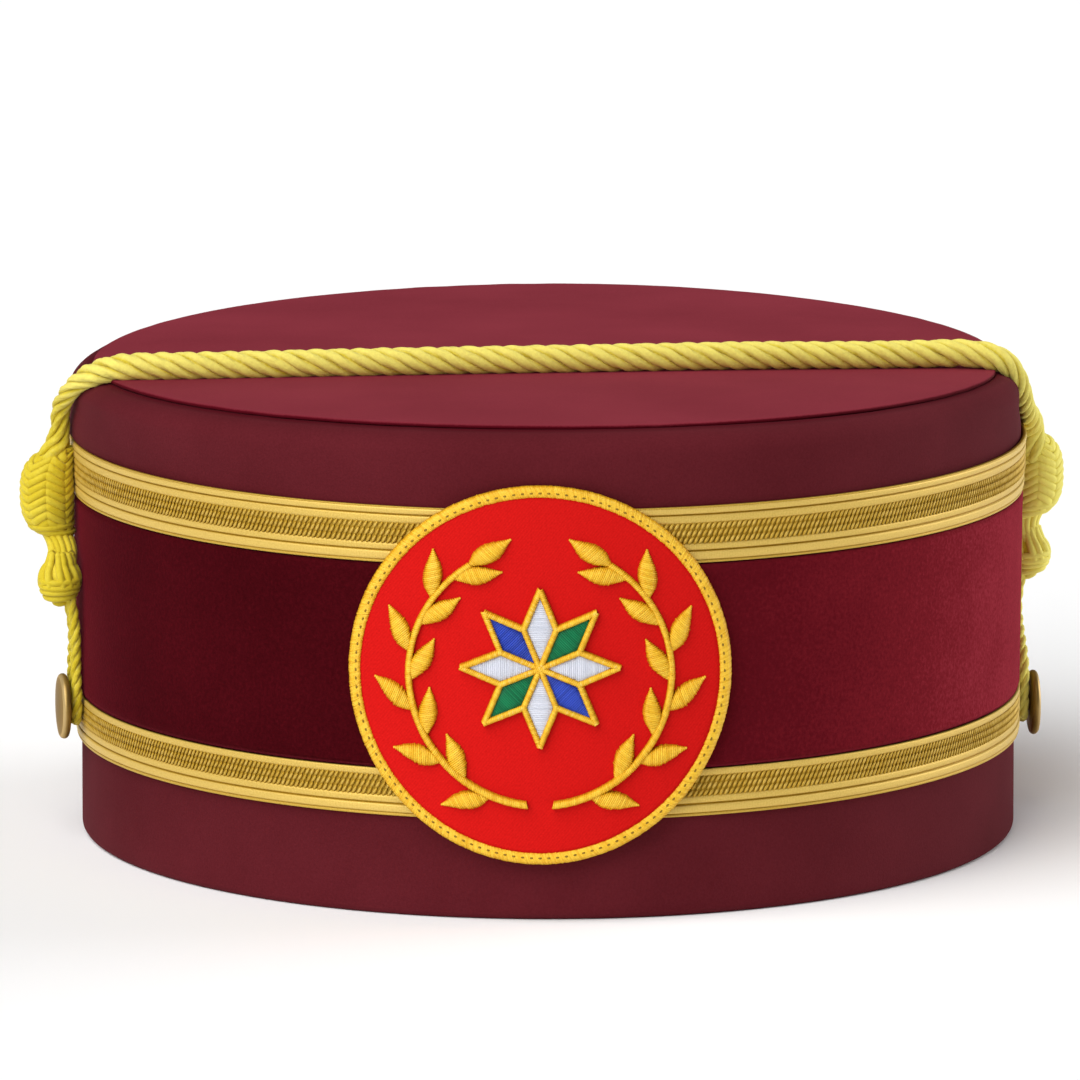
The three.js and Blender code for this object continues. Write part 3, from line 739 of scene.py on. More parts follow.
def overlock(shape, middle):
    """Close threads over a padded ring, sunk a little along the line of stitches."""
    width = PATCH_EDGE.width
    turn = np.linspace(0.0, math.pi, OVERLOCK.points)
    out = PATCH_EDGE.foot + PATCH_EDGE.crown * np.sin(turn) ** PATCH_EDGE.round
    across = (width / 2 - PATCH_EDGE.inset) * np.cos(turn)
    rng = np.random.default_rng(OVERLOCK.seed)
    count = OVERLOCK.count
    angle = (np.arange(count) + rng.normal(0, OVERLOCK_STRAY.along, count)) / count * TURN
    around = angle[:, None] + OVERLOCK.slant * np.cos(turn)
    radii = middle + across + rng.normal(0, OVERLOCK_STRAY.across, (count, 1))
    sunk = STITCH_LINE.groove * bell(across + STITCH_LINE.inset, STITCH_LINE.half_width)
    heights = out - sunk + rng.normal(0, OVERLOCK_STRAY.up, (count, 1))
    paths = np.concatenate([radii[..., None] * flat_spokes(around), heights[..., None]], -1)
    core = np.column_stack([middle + across * PATCH_CORE.width, out * PATCH_CORE.height - PATCH_CORE.sunk])
    half_foot = width / 2 - PATCH_CORE.inset
    foot = [(middle - half_foot, 0), (middle + half_foot, 0)]
    flat_ring(shape, np.vstack([core, foot]), PATCH_CORE.sides)
    # A random tone for each thread, with painted shade at its foot
    bright = rng.uniform(*OVERLOCK_SHADE.crown, (count, 1))
    shades = bright - OVERLOCK_SHADE.foot * np.abs(np.cos(turn)) ** 4
    threads(shape, paths, UP, OVERLOCK.radius, OVERLOCK.sides, shades)


def holding_stitches(shape, middle):
    """The sunk stitches that hold the badge to the cap."""
    reach = np.linspace(-1, 1, STITCHES.points)
    around = full_circle(STITCHES.count)[:, None] + STITCHES.half_length * reach / middle
    lift = PATCH_EDGE.thickness - STITCH_LINE.sunk - STITCH_LINE.curve * np.abs(reach) ** 3
    paths = spokes(around) * (middle - STITCH_LINE.inset) + lift[:, None] * UP
    threads(shape, paths, UP, STITCHES.radius, STITCHES.sides, STITCHES.shade)


def patch_border(material):
    middle = PATCH.radius - PATCH_EDGE.width / 2
    shape = Shape()
    overlock(shape, middle)
    holding_stitches(shape, middle)
    shape.move(bend_onto_front)
    return shape.build("badge_border", material, "patch_border")


def satin(shape, middle, direction, half_widths, slant, seed, shade=SATIN.shade, fullness=1.0):
    """Close stitches across a run: each one arches over the padding from edge to edge."""
    rng = np.random.default_rng(seed)
    count = len(middle)
    direction = np.broadcast_to(direction, middle.shape)
    across = np.stack([-direction[:, 1], direction[:, 0]], -1)
    reach = np.linspace(-1, 1, SATIN.points)
    ragged = 1 + rng.normal(0, SATIN.ragged, (count, 1))
    spans = half_widths[:, None] * reach * ragged
    lead = slant * half_widths[:, None] * reach
    flat = middle[:, None] + spans[..., None] * across[:, None] + lead[..., None] * direction[:, None]
    low, high, foot = EMBROIDERY.low, EMBROIDERY.high, EMBROIDERY.foot
    full = np.clip(half_widths / half_widths.max(), 0, 1)[:, None] * fullness
    arch = np.sqrt(np.clip(1 - reach**2, 0, 1))
    edge = smoothstep(1 - np.abs(reach), 0, EMBROIDERY.edge)
    heights = foot + (low - foot) * edge + (high - low) * full * arch
    heights = heights + rng.normal(0, SATIN.uneven, (count, 1))
    paths = np.concatenate([flat, heights[..., None]], -1)
    # A random tone for each stitch, with painted shade towards its sunk ends
    lustre = rng.uniform(*SATIN.lustre, (count, 1)) * (1 - np.abs(reach) ** 3)
    threads(shape, paths, UP, EMBROIDERY.thread, SATIN.sides, shade[0] + (shade[1] - shade[0]) * lustre)


def leaf(shape, base, heading, seed):
    along = np.arange(LEAF_STITCH.start, LEAF.length, EMBROIDERY.pitch)
    belly = np.sin(math.pi * (along / LEAF.length) ** LEAF_STITCH.belly)
    half_widths = LEAF.width / 2 * belly ** LEAF_STITCH.point + LEAF_STITCH.least
    direction = flat_spokes(heading)
    satin(shape, base + along[:, None] * direction, direction, half_widths, LEAF_STITCH.slant, seed)


def wreath_branch(name, material, mirrored):
    shape = Shape()
    start, end = math.radians(STEM.start), math.radians(STEM.end)
    turn = np.arange(start, end, EMBROIDERY.pitch / STEM.radius)
    direction = np.stack([-np.sin(turn), np.cos(turn)], -1)
    half_widths = 0.5 * STEM.width * (1 - STEM.taper * smoothstep(turn, start, end))
    satin(shape, STEM.radius * flat_spokes(turn), direction, half_widths, STEM.slant, STEM.seed)
    places = list(np.linspace(LEAF.first, LEAF.last, LEAF.count)) + [LEAF.tip]
    tilts = [LEAF.tilt, -LEAF.tilt] * (LEAF.count // 2) + [0]
    for index, (angle, tilt) in enumerate(zip(np.radians(places), np.radians(tilts))):
        base = STEM.radius * flat_spokes(angle)
        leaf(shape, base, angle + math.pi / 2 - tilt, LEAF_STITCH.seed + index)
    if mirrored:
        shape.mirror()
    shape.move(bend_onto_front)
    return shape.build(f"stitched_{name}", material, name)


def badge_star(material):
    """Eight lozenges of satin stitch round the middle, white and coloured by turns, with gold outlines."""
    side = STAR.side
    sector = TURN / STAR.points
    centre = np.array([0, STAR.centre])
    notch = side * math.cos(sector / 2)
    tip = 2 * notch
    half = side * math.sin(sector / 2)
    headings = np.arange(STAR.points) * sector + math.pi / 2
    shape = Shape()
    for index, (heading, fill) in enumerate(zip(headings, STAR_FILLS)):
        direction = flat_spokes(heading)
        along = np.arange(STAR.start, tip - STAR.tip, EMBROIDERY.pitch)
        half_widths = np.interp(along, (0, notch, tip), (0, half, 0)) - STAR.inset
        middle = centre + along[:, None] * direction
        shade = (fill, fill + STAR_LUSTRE)
        satin(shape, middle, direction, half_widths, 0.0, STAR.seed + index, shade, STAR.fullness)
    seed = STAR_OUTLINE.seed
    for heading in headings:
        corner = centre + side * flat_spokes(heading + sector / 2)
        end = centre + tip * flat_spokes(heading)
        before = centre + side * flat_spokes(heading - sector / 2)
        for first, last in ((centre, corner), (corner, end), (before, end)):
            length = np.linalg.norm(last - first)
            direction = (last - first) / length
            along = np.arange(0.0, length + STAR_OUTLINE.overrun, EMBROIDERY.pitch)
            half_widths = np.full(len(along), STAR_OUTLINE.width / 2)
            middle = first + along[:, None] * direction
            satin(shape, middle, direction, half_widths, STAR_OUTLINE.slant, seed)
            seed += 1
    shape.move(bend_onto_front)
    return shape.build("stitched_star", material, "badge_star")


def smooth_route(points, step):
    """A centripetal Catmull-Rom curve through the points, cut into even steps."""
    points = np.asarray(points, float)
    ends = np.vstack([2 * points[0] - points[1], points, 2 * points[-1] - points[-2]])
    share = np.linspace(0, 1, ROUTE_STEPS, endpoint=False)[:, None]
    runs = []
    for p0, p1, p2, p3 in zip(ends, ends[1:], ends[2:], ends[3:]):
        d0, d1, d2 = (np.linalg.norm(b - a) ** 0.5 for a, b in ((p0, p1), (p1, p2), (p2, p3)))
        start = ((p1 - p0) / d0 - (p2 - p0) / (d0 + d1) + (p2 - p1) / d1) * d1
        end = ((p2 - p1) / d1 - (p3 - p1) / (d1 + d2) + (p3 - p2) / d2) * d1
        cubic = 2 * p1 - 2 * p2 + start + end
        square = -3 * p1 + 3 * p2 - 2 * start - end
        runs.append(p1 + share * start + share**2 * square + share**3 * cubic)
    fine = np.vstack([*runs, points[-1:]])
    travel = travelled(fine)
    even = np.linspace(0, travel[-1], int(travel[-1] / step) + 1)
    return np.stack([np.interp(even, travel, fine[:, axis]) for axis in range(3)], -1), even


def carried_frame(route):
    """Two directions across a route, carried along it without twist."""
    along = unit(np.gradient(route, axis=0))
    across = [unit(np.cross(along[0], ROUTE_ASIDE))]
    for direction in along[1:]:
        across.append(unit(across[-1] - direction * across[-1].dot(direction)))
    across = np.array(across)
    return across, np.cross(along, across)


def twisted_cord(shape, points, cord, shade, hang):
    """Soft strands laid round a route to the right, each ridged by yarns that turn the other way."""
    route, travel = smooth_route(points, cord.step)
    across, over = carried_frame(route)
    strand, sides, groove = cord.strand, cord.sides, cord.groove
    rng = np.random.default_rng(cord.seed)
    around = full_circle(sides)
    valley = cord.valley
    # Painted shade between the rope's strands, painted light between the loops' strands
    painted_valley = valley.change * (1 - smoothstep(np.sin(around), valley.low, valley.high))
    # shift is the rope's painted shade at the left and painted light at the right where it hangs down
    shift, girth = hang(route)
    faces, row, column = grid_faces(len(route), sides, False, True)
    for index in range(cord.strands):
        loose = wobble(travel / travel[-1] * TURN, LOOSE.waves, cord.seed + index)
        turn = TURN * (travel / cord.lay + index / cord.strands + LOOSE.turn * loose)
        out = np.cos(turn)[:, None] * across + np.sin(turn)[:, None] * over
        middle = route + (cord.radius - strand) * girth[:, None] * out
        along = unit(np.gradient(middle, axis=0))
        level = unit(np.cross(along, out))
        outer = np.cross(level, along)
        ring = level[:, None] * np.cos(around)[:, None] + outer[:, None] * np.sin(around)[:, None]
        spin = cord.yarns / 2 * (around + TURN * travel[:, None] / cord.yarn_lay)
        ridges = groove * np.abs(np.cos(spin)) ** YARN_ROUND
        ridged = strand * (1 - groove + ridges + LOOSE.size * loose[:, None])
        coordinates = np.stack([travel[row], column / sides * TURN * strand + STRAND_UV * index], -1)
        first = shape.count
        tones = np.add.outer(rng.uniform(*shade) + shift, painted_valley)
        surface = middle[:, None] + (girth[:, None] * ridged)[..., None] * ring
        shape.add(surface, faces[:, ::-1], coordinates[:, ::-1], tones.ravel())
        rim = first + np.arange(sides)
        shape.close(np.stack([rim, rim[::-1] + (len(route) - 1) * sides]))
    return route, travel[-1]


def rope_hang(route):
    """The rope thins where it is pulled over the edge; where it hangs down it gets the knots' painted shade
    at the left and painted light at the right.
    """
    height = route[:, 2]
    hanging = 1 - smoothstep(height, ROPE_PAINTED_LIGHT.low, ROPE_PAINTED_LIGHT.high)
    pulled = between(height, ROPE_PULL.rise, ROPE_PULL.fade)
    change = np.where(route[:, 0] < 0, ROPE_PAINTED_LIGHT.left, ROPE_PAINTED_LIGHT.right)
    return hanging * change, 1 - ROPE_PULL.share * pulled


def loop_hang(route):
    """A loop keeps its tone and its thickness."""
    return np.zeros(len(route)), np.ones(len(route))


def crown_cord(material):
    shape = Shape()
    points = ROPE_START + ROPE_ROUTE + ROPE_END
    route, length = twisted_cord(shape, points, ROPE, ROPE.shade, rope_hang)
    piece = shape.build("gold_rope", material, "crown_cord")
    return piece, route, length


def button_loop(side, material):
    button_y, button_z = side.button
    bow = BUTTON.shank + GAP + LOOP.radius
    starts = {
        "knot": (side.small_y, SMALL_KNOT.bottom - GAP - side.drop),
        "button": (button_y, button_z),
    }
    leg = []
    for start, rise, spread, lift in LOOP_LEG:
        middle, height = starts[start]
        leg.append((middle, height + rise, bow * spread, lift))
    lowest = (button_y, button_z - bow, 0.0, 0.0)
    other_leg = [(middle, height, -aside, lift) for middle, height, aside, lift in reversed(leg)]
    stand = SKIN_OUTSIDE + GAP + LOOP.radius
    points = []
    for middle, height, aside, lift in (*leg, lowest, *other_leg):
        points.append(side_point(side.sign, middle + aside, height, stand + lift))
    shape = Shape()
    route, length = twisted_cord(shape, points, LOOP, side.shade, loop_hang)
    return shape.build_at_side("gold", "button_loop", side, material), route, length


def knot_half(knot):
    return (knot.top - knot.bottom) / 2


def knot_radius(knot, height):
    """Radius of an egg-shaped knot at a height above its middle."""
    share, widest, fullness = height / knot_half(knot), knot.widest, knot.fullness
    away = np.where(share > widest, (share - widest) / (1 - widest), (widest - share) / (1 + widest))
    return knot.radius * np.clip(1 - np.clip(away, 0, 1) ** fullness, 0, 1) ** (1 / fullness)


def knot_axis(knot, side, y, height):
    """A knot's middle at a height above it: where it is narrow it leans on the wall."""
    level = (knot.bottom + knot.top) / 2 - side.drop
    place = side_point(side.sign, y, level, SKIN_OUTSIDE + knot.radius)
    limit = KNOT_LIMIT * knot_half(knot)
    slack = knot.radius - knot_radius(knot, np.clip(height, -limit, limit))
    return place - knot.lean * np.multiply.outer(slack, outwards_at(place))


def upright_core(shape, knot, depth):
    """A smooth egg so many strands inside the knot, so that no light shows between the strands; its dark
    gold is painted shade.
    """
    half = knot_half(knot) - KNOT_CORE.inset
    rows = knot.core_rows
    heights = np.linspace(-half, half, rows)
    radii = knot_radius(knot, heights) * (1 - depth * knot.strand / knot.radius)
    sides = KNOT_CORE.sides
    points = carried_round(np.column_stack([radii, heights]), spokes(full_circle(sides)), UP)
    faces, _, _ = grid_faces(sides, rows, True, False)
    first = shape.count
    shape.add(points, faces, shade=KNOT_CORE.shade)
    rim = first + np.arange(sides) * rows
    shape.close(np.stack([rim[::-1], rim + rows - 1]))


def round_wraps(shape, rows, strand, shade, seed):
    """Level turns of cord, one for each row of height and radius, a little out of true."""
    rng = np.random.default_rng(seed)
    angle = full_circle(WRAP.points)
    out = spokes(angle)
    paths = []
    for height, radius in rows:
        tilt = rng.uniform(*WRAP.tilt)
        lead = rng.uniform(0, WRAP.lead)
        paths.append(out * radius + (height + tilt * np.cos(angle - lead))[:, None] * UP)
    threads(shape, paths, out, strand, KNOT_SIDES, rng.uniform(*shade, len(rows)), closed=True)


def large_knot(side, material):
    """A woven egg: columns of strands that slant by turns left and right, with level turns at its foot."""
    knot, half, strand = LARGE_KNOT, knot_half(LARGE_KNOT), LARGE_KNOT.strand
    pitch = WEAVE.pitch
    shape = Shape()
    upright_core(shape, knot, WEAVE_DEPTH.core)
    rng = np.random.default_rng(WEAVE.seed)
    reach = np.linspace(-1, 1, WEAVE.points)
    dive = smoothstep(np.abs(reach), WEAVE_DEPTH.dive_from, 1.0)
    depth = strand * (WEAVE_DEPTH.strand + WEAVE_DEPTH.dive * dive)
    paths, ups = [], []
    for column in range(WEAVE.columns):
        slope = pitch * (WEAVE.slope if column % 2 else -WEAVE.slope)
        for level in np.arange(-half + WEAVE_ROWS.foot, half + WEAVE_ROWS.over, pitch):
            z = level + slope * reach * (1 + rng.normal(0, WEAVE_ROWS.stray))
            z = np.minimum(z, half - strand * WEAVE_ROWS.top)
            place = column + 0.5 + WEAVE.reach * reach + rng.normal(0, WEAVE_ROWS.turn)
            out = spokes(place * TURN / WEAVE.columns)
            away = np.maximum(knot_radius(knot, z) - depth, WEAVE_DEPTH.least)
            paths.append(out * away[:, None] + z[:, None] * UP)
            ups.append(out)
    threads(shape, paths, ups, strand, KNOT_SIDES, rng.uniform(*side.shade, len(paths)), flat=WEAVE.flat)
    levels = [height - half for height in FOOT_WRAPS.heights]
    wraps = [(level, knot_radius(knot, level) - FOOT_WRAPS.depth * strand) for level in levels]
    round_wraps(shape, wraps, strand, side.shade, FOOT_WRAPS.seed)
    shape.move(lambda points: points + knot_axis(knot, side, side.large_y, points[:, 2]))
    return shape.build_at_side("woven", "knot_large", side, material)


def bundle_leads():
    """Where round the bundle each of its strands starts."""
    count = BUNDLE.strands
    rng = np.random.default_rng(BUNDLE_STRAY.lead_seed)
    return (np.arange(count) + rng.normal(0, BUNDLE_STRAY.share, count)) / count * TURN


def small_knot(side, material):
    """Strands that come down over the top and go in under slanting turns."""
    knot, half, strand = SMALL_KNOT, knot_half(SMALL_KNOT), SMALL_KNOT.strand
    count = SMALL_STRANDS.points
    shape = Shape()
    upright_core(shape, knot, SMALL_STRANDS.core)
    rng = np.random.default_rng(SMALL_STRANDS.seed)
    z = np.linspace(half + SMALL_STRANDS.over, SMALL_STRANDS.end, count)
    gather = smoothstep(z, half - SMALL_STRANDS.tuck_from, half + SMALL_STRANDS.over)
    tucked = BUNDLE.radius - strand - SMALL_STRANDS.tuck * gather
    outside = knot_radius(knot, np.minimum(z, SMALL_STRANDS.limit * half)) - strand
    away = np.maximum(outside, tucked)
    turn = np.linspace(*SMALL_STRANDS.turn, count)
    outs = [spokes(lead + BUNDLE.turn + turn) for lead in bundle_leads()]
    paths = [out * away[:, None] + z[:, None] * UP for out in outs]
    radii = strand * np.linspace(1, SMALL_STRANDS.swell, count)
    threads(shape, paths, outs, radii, KNOT_SIDES, rng.uniform(*side.shade, len(paths)))
    levels = np.arange(SMALL_WRAPS.top, -half + SMALL_WRAPS.end, -SMALL_WRAPS.pitch)
    wraps = [(level, knot_radius(knot, level) - SMALL_WRAPS.depth * strand) for level in levels]
    wraps.append((-half + SMALL_WRAPS.last, SMALL_WRAPS.last_radius))
    round_wraps(shape, wraps, strand, side.shade, SMALL_WRAPS.seed)
    shape.move(lambda points: points + knot_axis(knot, side, side.small_y, points[:, 2]))
    return shape.build_at_side("wrapped", "knot_small", side, material)


def strand_bundle(side, material):
    """The loose strands between the two knots."""
    rng = np.random.default_rng(BUNDLE_STRAY.shade_seed)
    above = knot_axis(LARGE_KNOT, side, side.large_y, -BUNDLE_WAIST.above * knot_half(LARGE_KNOT))
    below = knot_axis(SMALL_KNOT, side, side.small_y, knot_half(SMALL_KNOT))
    top = LARGE_KNOT.bottom - side.drop + BUNDLE.overlap
    bottom = SMALL_KNOT.top - side.drop - BUNDLE.overlap
    share = np.linspace(0, 1, BUNDLE.points)
    arch = np.sin(share * math.pi)
    strand = BUNDLE.strand
    core = above + (below - above) * share[:, None]
    core = core - np.multiply.outer(BUNDLE.bow * arch, outwards_at(above))
    core[:, 2] = top + (bottom - top) * share
    gather = BUNDLE_WAIST.below * smoothstep(share, BUNDLE_WAIST.below_from, 1)
    waist = (BUNDLE.radius - strand) * (1 - BUNDLE_WAIST.middle * arch - gather)
    outs = [spokes(lead + BUNDLE.turn * share) for lead in bundle_leads()]
    paths = [core + out * waist[:, None] for out in outs]
    shape = Shape()
    threads(shape, paths, outs, strand, KNOT_SIDES, rng.uniform(*side.shade, len(paths)))
    # The bundle's core takes the side's darkest shade: painted shade between the strands
    core_radius = BUNDLE.radius - BUNDLE_CORE.strands * strand
    threads(shape, [core], (0, 1, 0), core_radius, BUNDLE_CORE.sides, side.shade[0])
    return shape.build_at_side("loose", "strand_bundle", side, material)


def button(side, material):
    """A thick, round-edged head, slightly domed, on a short shank."""
    foot = SKIN_OUTSIDE + GAP
    under = foot + 2 * LOOP.radius + GAP
    head, shank, edge = BUTTON.head, BUTTON.shank, BUTTON.edge
    turn = np.linspace(-math.pi / 2, math.pi * BUTTON_FACE.rim_end, BUTTON_FACE.rim_rows)
    rim = (head - edge, under + edge) + edge * flat_spokes(turn)
    r = np.linspace(rim[-1, 0], MIDDLE, BUTTON_FACE.rows)[1:]
    crown = under + BUTTON.thickness
    dome = np.column_stack([r, crown - (crown - rim[-1, 1]) * (r / rim[-1, 0]) ** BUTTON_FACE.dome])
    flare = (shank + BUTTON.flare, under)
    stem = [(MIDDLE, foot), (shank, foot), (shank, under - BUTTON.flare_height), flare]
    profile = np.vstack([stem, rim, dome])
    origin = side_point(side.sign, *side.button, 0)
    out = outwards_at(origin)
    angle = full_circle(BUTTON.sides)
    rays = np.cos(angle)[:, None] * np.cross(UP, out) + np.sin(angle)[:, None] * UP
    points = origin + carried_round(profile, rays, out)
    faces, _, _ = grid_faces(BUTTON.sides, len(profile), True, True)
    button_light = BUTTON_PAINTED_LIGHT
    # Painted highlight on the rim's shoulder, painted shade under the rim and on the shank, painted dark
    # reflection on the face's middle
    rim_painted_light = button_light.edge + (1 - button_light.edge) * smoothstep(turn, button_light.low, button_light.high)
    face = button_light.middle + button_light.face * (r / head) ** 3
    bright = np.concatenate([np.full(len(stem), button_light.shank), rim_painted_light, face])
    shape = Shape()
    shape.add(points, faces, shade=np.tile(bright, BUTTON.sides))
    return shape.build_at_side("brass", "button", side, material)


class Surface:
    """A node-based material, with short ways to add the nodes that these cloths and metals need."""

    def __init__(self, name, **settings):
        self.material = bpy.data.materials.new(name)
        self.material.use_nodes = True
        self.nodes = self.material.node_tree.nodes
        self.links = self.material.node_tree.links
        self.shader = self.nodes["Principled BSDF"]
        for socket, value in settings.items():
            self.shader.inputs[socket.replace("_", " ")].default_value = value

    def node(self, kind, inputs=(), **settings):
        made = self.nodes.new(kind)
        for name, value in settings.items():
            setattr(made, name, value)
        for socket, value in dict(inputs).items():
            if isinstance(value, bpy.types.NodeSocket):
                self.links.new(value, made.inputs[socket])
            else:
                made.inputs[socket].default_value = value
        return made

    def place(self, kind="Object"):
        return self.node("ShaderNodeTexCoord").outputs[kind]

    def mapped(self, vector, **settings):
        return self.node("ShaderNodeMapping", {"Vector": vector, **settings}).outputs["Vector"]

    def noise(self, vector, scale, detail=2.0, roughness=0.5):
        inputs = {"Vector": vector, "Scale": scale, "Detail": detail, "Roughness": roughness}
        return self.node("ShaderNodeTexNoise", inputs).outputs["Fac"]

    def wave(self, vector, scale, direction, distortion):
        inputs = {"Vector": vector, "Scale": scale, "Distortion": distortion}
        return self.node("ShaderNodeTexWave", inputs, bands_direction=direction).outputs["Fac"]

    def math(self, operation, first, second):
        return self.node("ShaderNodeMath", {0: first, 1: second}, operation=operation).outputs[0]

    def weighted(self, *pairs):
        """The sum of values, each times its weight."""
        total, *rest = [self.math("MULTIPLY", value, weight) for value, weight in pairs]
        for part in rest:
            total = self.math("ADD", total, part)
        return total

    def shade(self):
        return self.node("ShaderNodeAttribute", attribute_name="shade").outputs["Fac"]

    def colour(self, value, stops):
        """The base colour, from a ramp of positions and colours."""
        made = self.node("ShaderNodeValToRGB", {"Fac": value})
        elements = made.color_ramp.elements
        while len(elements) < len(stops):
            elements.new(0.5)
        for element, (position, colour) in zip(elements, stops):
            element.position = position
            element.color = (*colour, 1)
        self.links.new(made.outputs["Color"], self.shader.inputs["Base Color"])

    def roughness(self, socket):
        self.links.new(socket, self.shader.inputs["Roughness"])

    def sheen(self, weight, roughness, tint):
        for socket, value in (("Weight", weight), ("Roughness", roughness), ("Tint", tint)):
            self.shader.inputs[f"Sheen {socket}"].default_value = value

    def bump(self, height, strength, distance):
        inputs = {"Height": height, "Strength": strength, "Distance": distance * MM}
        made = self.node("ShaderNodeBump", inputs)
        self.links.new(made.outputs["Normal"], self.shader.inputs["Normal"])


def cloth_surface(name, cloth):
    """Fine milled wool: close fibres and slow changes of tone, with painted shade in the seam."""
    made = Surface(name, Roughness=0.85, Specular_IOR_Level=0.04)
    made.sheen(weight=cloth.sheen, roughness=0.5, tint=cloth.tint)
    place = made.place()
    fibre = made.noise(place, scale=2400, detail=3.0, roughness=0.6)
    tone = made.noise(place, scale=34, detail=3.0)
    crease = made.math("SUBTRACT", made.shade(), PLAIN_SHADE)
    tone_and_painted_shade = made.weighted((fibre, 0.45), (tone, 0.55), (crease, 1.2))
    made.colour(tone_and_painted_shade, ((0.0, CREASE_PAINTED_SHADE), (0.36, cloth.dark), (0.64, cloth.light)))
    made.bump(fibre, strength=0.35, distance=0.12)
    return made.material


def velvet_surface():
    """Short pile whose lie changes in patches, with painted light towards the right."""
    made = Surface("velvet", Roughness=0.95, Specular_IOR_Level=0.02)
    made.sheen(weight=0.3, roughness=0.35, tint=VELVET_TINT)
    place = made.place()
    pile = made.noise(place, scale=1500, detail=3.0, roughness=0.65)
    patch = made.noise(place, scale=30, detail=4.0, roughness=0.6)
    across = made.node("ShaderNodeSeparateXYZ", {"Vector": place}).outputs["X"]
    span = {"Value": across, "From Min": VELVET_PAINTED_LIGHT[0] * MM, "From Max": VELVET_PAINTED_LIGHT[1] * MM}
    right_painted_light = made.node("ShaderNodeMapRange", span).outputs["Result"]
    made.colour(made.weighted((pile, 0.3), (patch, 0.2), (right_painted_light, 0.5)), VELVET_RAMP)
    made.bump(pile, strength=0.5, distance=0.15)
    return made.material


def lace_surface():
    """Gilt thread woven close, with fine ribs across the lace."""
    made = Surface("lace_gold", Roughness=0.45, Metallic=0.3, Specular_IOR_Level=0.1)
    weave = made.place("UV")
    rib = made.wave(weave, scale=0.9, direction="X", distortion=0.6)
    weft = made.wave(weave, scale=1.6, direction="Y", distortion=0.4)
    grain = made.noise(weave, scale=3.0, roughness=0.6)
    made.colour(made.weighted((grain, 0.34), (rib, 0.08), (made.shade(), 0.8)), LACE_RAMP)
    made.bump(made.weighted((rib, 0.6), (weft, 0.4)), strength=0.3, distance=0.08)
    return made.material


def twill_surface():
    """Bright red twill under the embroidery."""
    made = Surface("badge_red", Roughness=0.8, Specular_IOR_Level=0.04)
    weave = made.place("UV")
    slanted = made.mapped(weave, Rotation=(0, 0, 0.7))
    twill = made.wave(slanted, scale=0.62, direction="X", distortion=0.8)
    grain = made.noise(weave, scale=2.2, detail=3.0, roughness=0.6)
    made.colour(made.weighted((twill, 0.15), (grain, 0.85)), TWILL_RAMP)
    made.bump(twill, strength=0.12, distance=0.06)
    return made.material


def thread_surface():
    """Lustrous orange-gold embroidery thread, with painted shade where a stitch is sunk."""
    made = Surface("badge_gold", Roughness=0.38, Specular_IOR_Level=0.25)
    grain = made.noise(made.place(), scale=1800)
    made.colour(made.weighted((grain, 0.3), (made.shade(), 0.85)), THREAD_RAMP)
    made.bump(grain, strength=0.2, distance=0.05)
    return made.material


def star_surface():
    """Satin stitch in gold, white, blue and green, told apart by each thread's shade."""
    made = Surface("badge_fill", Roughness=0.38, Specular_IOR_Level=0.25)
    made.colour(made.math("DIVIDE", made.shade(), STAR_SHADES), STAR_RAMP)
    made.bump(made.noise(made.place(), scale=1800), strength=0.2, distance=0.05)
    return made.material


def cord_surface():
    """Lemon-gold rayon cord with fine filaments."""
    made = Surface("cord_gold", Roughness=0.55, Specular_IOR_Level=0.1)
    made.sheen(weight=0.2, roughness=0.4, tint=CORD_TINT)
    grain = made.noise(made.place(), scale=1500, detail=3.0, roughness=0.6)
    made.colour(made.weighted((grain, 0.4), (made.shade(), 0.8)), CORD_RAMP)
    filament = made.noise(made.mapped(made.place("UV"), Scale=(0.8, 9.0, 1.0)), scale=1.0, roughness=0.6)
    made.bump(filament, strength=0.8, distance=0.15)
    return made.material


def brass_surface():
    """Polished brass, slightly dulled and handled, with highlights and dark reflections painted from each
    point's shade.
    """
    made = Surface("button_brass", Metallic=0.5, Specular_Tint=BRASS_TINT, Specular_IOR_Level=0.15)
    place = made.place()
    dull = made.noise(place, scale=220, detail=4.0, roughness=0.6)
    made.colour(made.weighted((dull, 0.3), (made.shade(), 0.7)), BRASS_RAMP)
    made.roughness(made.math("ADD", made.math("MULTIPLY", dull, 0.22), 0.28))
    made.bump(made.noise(place, scale=900), strength=0.04, distance=0.05)
    return made.material


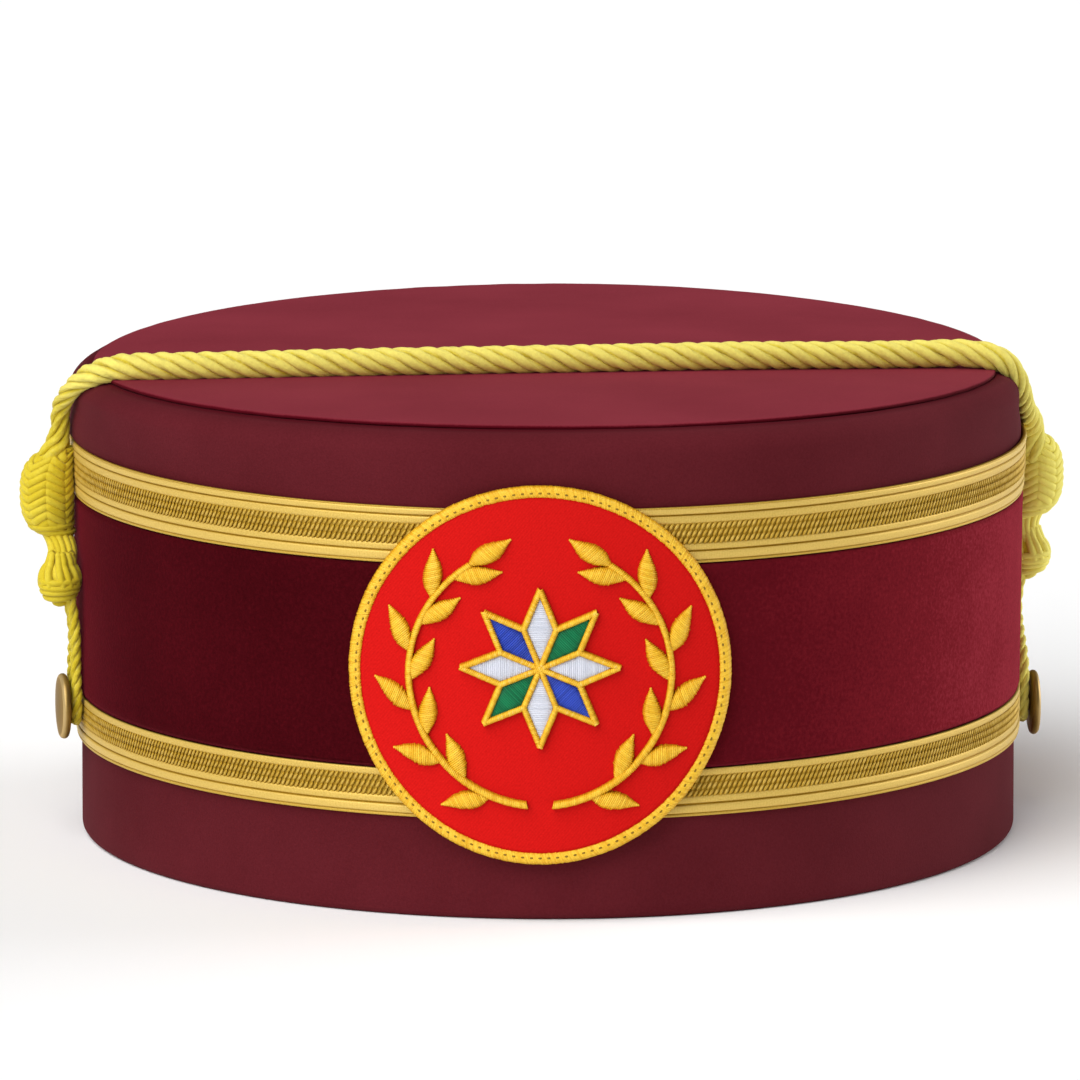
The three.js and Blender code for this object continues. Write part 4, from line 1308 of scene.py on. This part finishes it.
def place_camera():
    data = bpy.data.cameras.new("photo_camera")
    data.lens = CAMERA.lens
    data.shift_x, data.shift_y = CAMERA.shift
    camera = bpy.data.objects.new("photo_camera", data)
    bpy.context.scene.collection.objects.link(camera)
    camera.location = Vector(CAMERA.place) * MM
    view = Vector(CAMERA.target) * MM - camera.location
    camera.rotation_euler = view.to_track_quat("-Z", "Y").to_euler()
    bpy.context.scene.camera = camera


def place_stage():
    """A pale floor under a pale sky, with soft lights from the upper left, the front and the right."""
    scene = bpy.context.scene
    scene.view_settings.view_transform = "Standard"
    world = bpy.data.worlds.new("studio")
    world.use_nodes = True
    sky = world.node_tree.nodes["Background"]
    sky.inputs["Color"].default_value = SKY_COLOUR
    sky.inputs["Strength"].default_value = SKY_STRENGTH
    scene.world = world
    for lamp in LIGHTS:
        data = bpy.data.lights.new(lamp.name, "SUN")
        data.energy = lamp.strength
        data.angle = math.radians(lamp.spread)
        light = bpy.data.objects.new(lamp.name, data)
        scene.collection.objects.link(light)
        light.rotation_euler = (-Vector(lamp.source)).to_track_quat("-Z", "Y").to_euler()
    half = FLOOR_SIZE / 2
    corners = [(-half, -half, 0), (half, -half, 0), (half, half, 0), (-half, half, 0)]
    mesh = bpy.data.meshes.new("floor")
    mesh.from_pydata(corners, [], [(0, 1, 2, 3)])
    mesh.materials.append(Surface("floor", Roughness=0.9, Base_Color=FLOOR_COLOUR).material)
    floor = bpy.data.objects.new("floor", mesh)
    scene.collection.objects.link(floor)


def main():
    place_camera()
    gold_cord = cord_surface()
    brass = brass_surface()
    rope, rope_route, rope_length = crown_cord(gold_cord)
    knots = []
    for side in CORD_SIDES:
        knots += [large_knot(side, gold_cord), small_knot(side, gold_cord), strand_bundle(side, gold_cord)]
        loop, loop_route, loop_length = button_loop(side, gold_cord)
        button(side, brass)

    crown_wall(cloth_surface("wall_cloth", WALL_CLOTH))
    crown_top(cloth_surface("top_cloth", TOP_CLOTH))
    velvet_band(velvet_surface())
    gilt = lace_surface()
    gold_lace("lace_upper", LACE_UPPER, gilt)
    gold_lace("lace_lower", LACE_LOWER, gilt)

    stitching = thread_surface()
    patch_ground(twill_surface())
    patch_border(stitching)
    wreath_branch("wreath_left", stitching, True)
    wreath_branch("wreath_right", stitching, False)
    badge_star(star_surface())
    place_stage()


main()
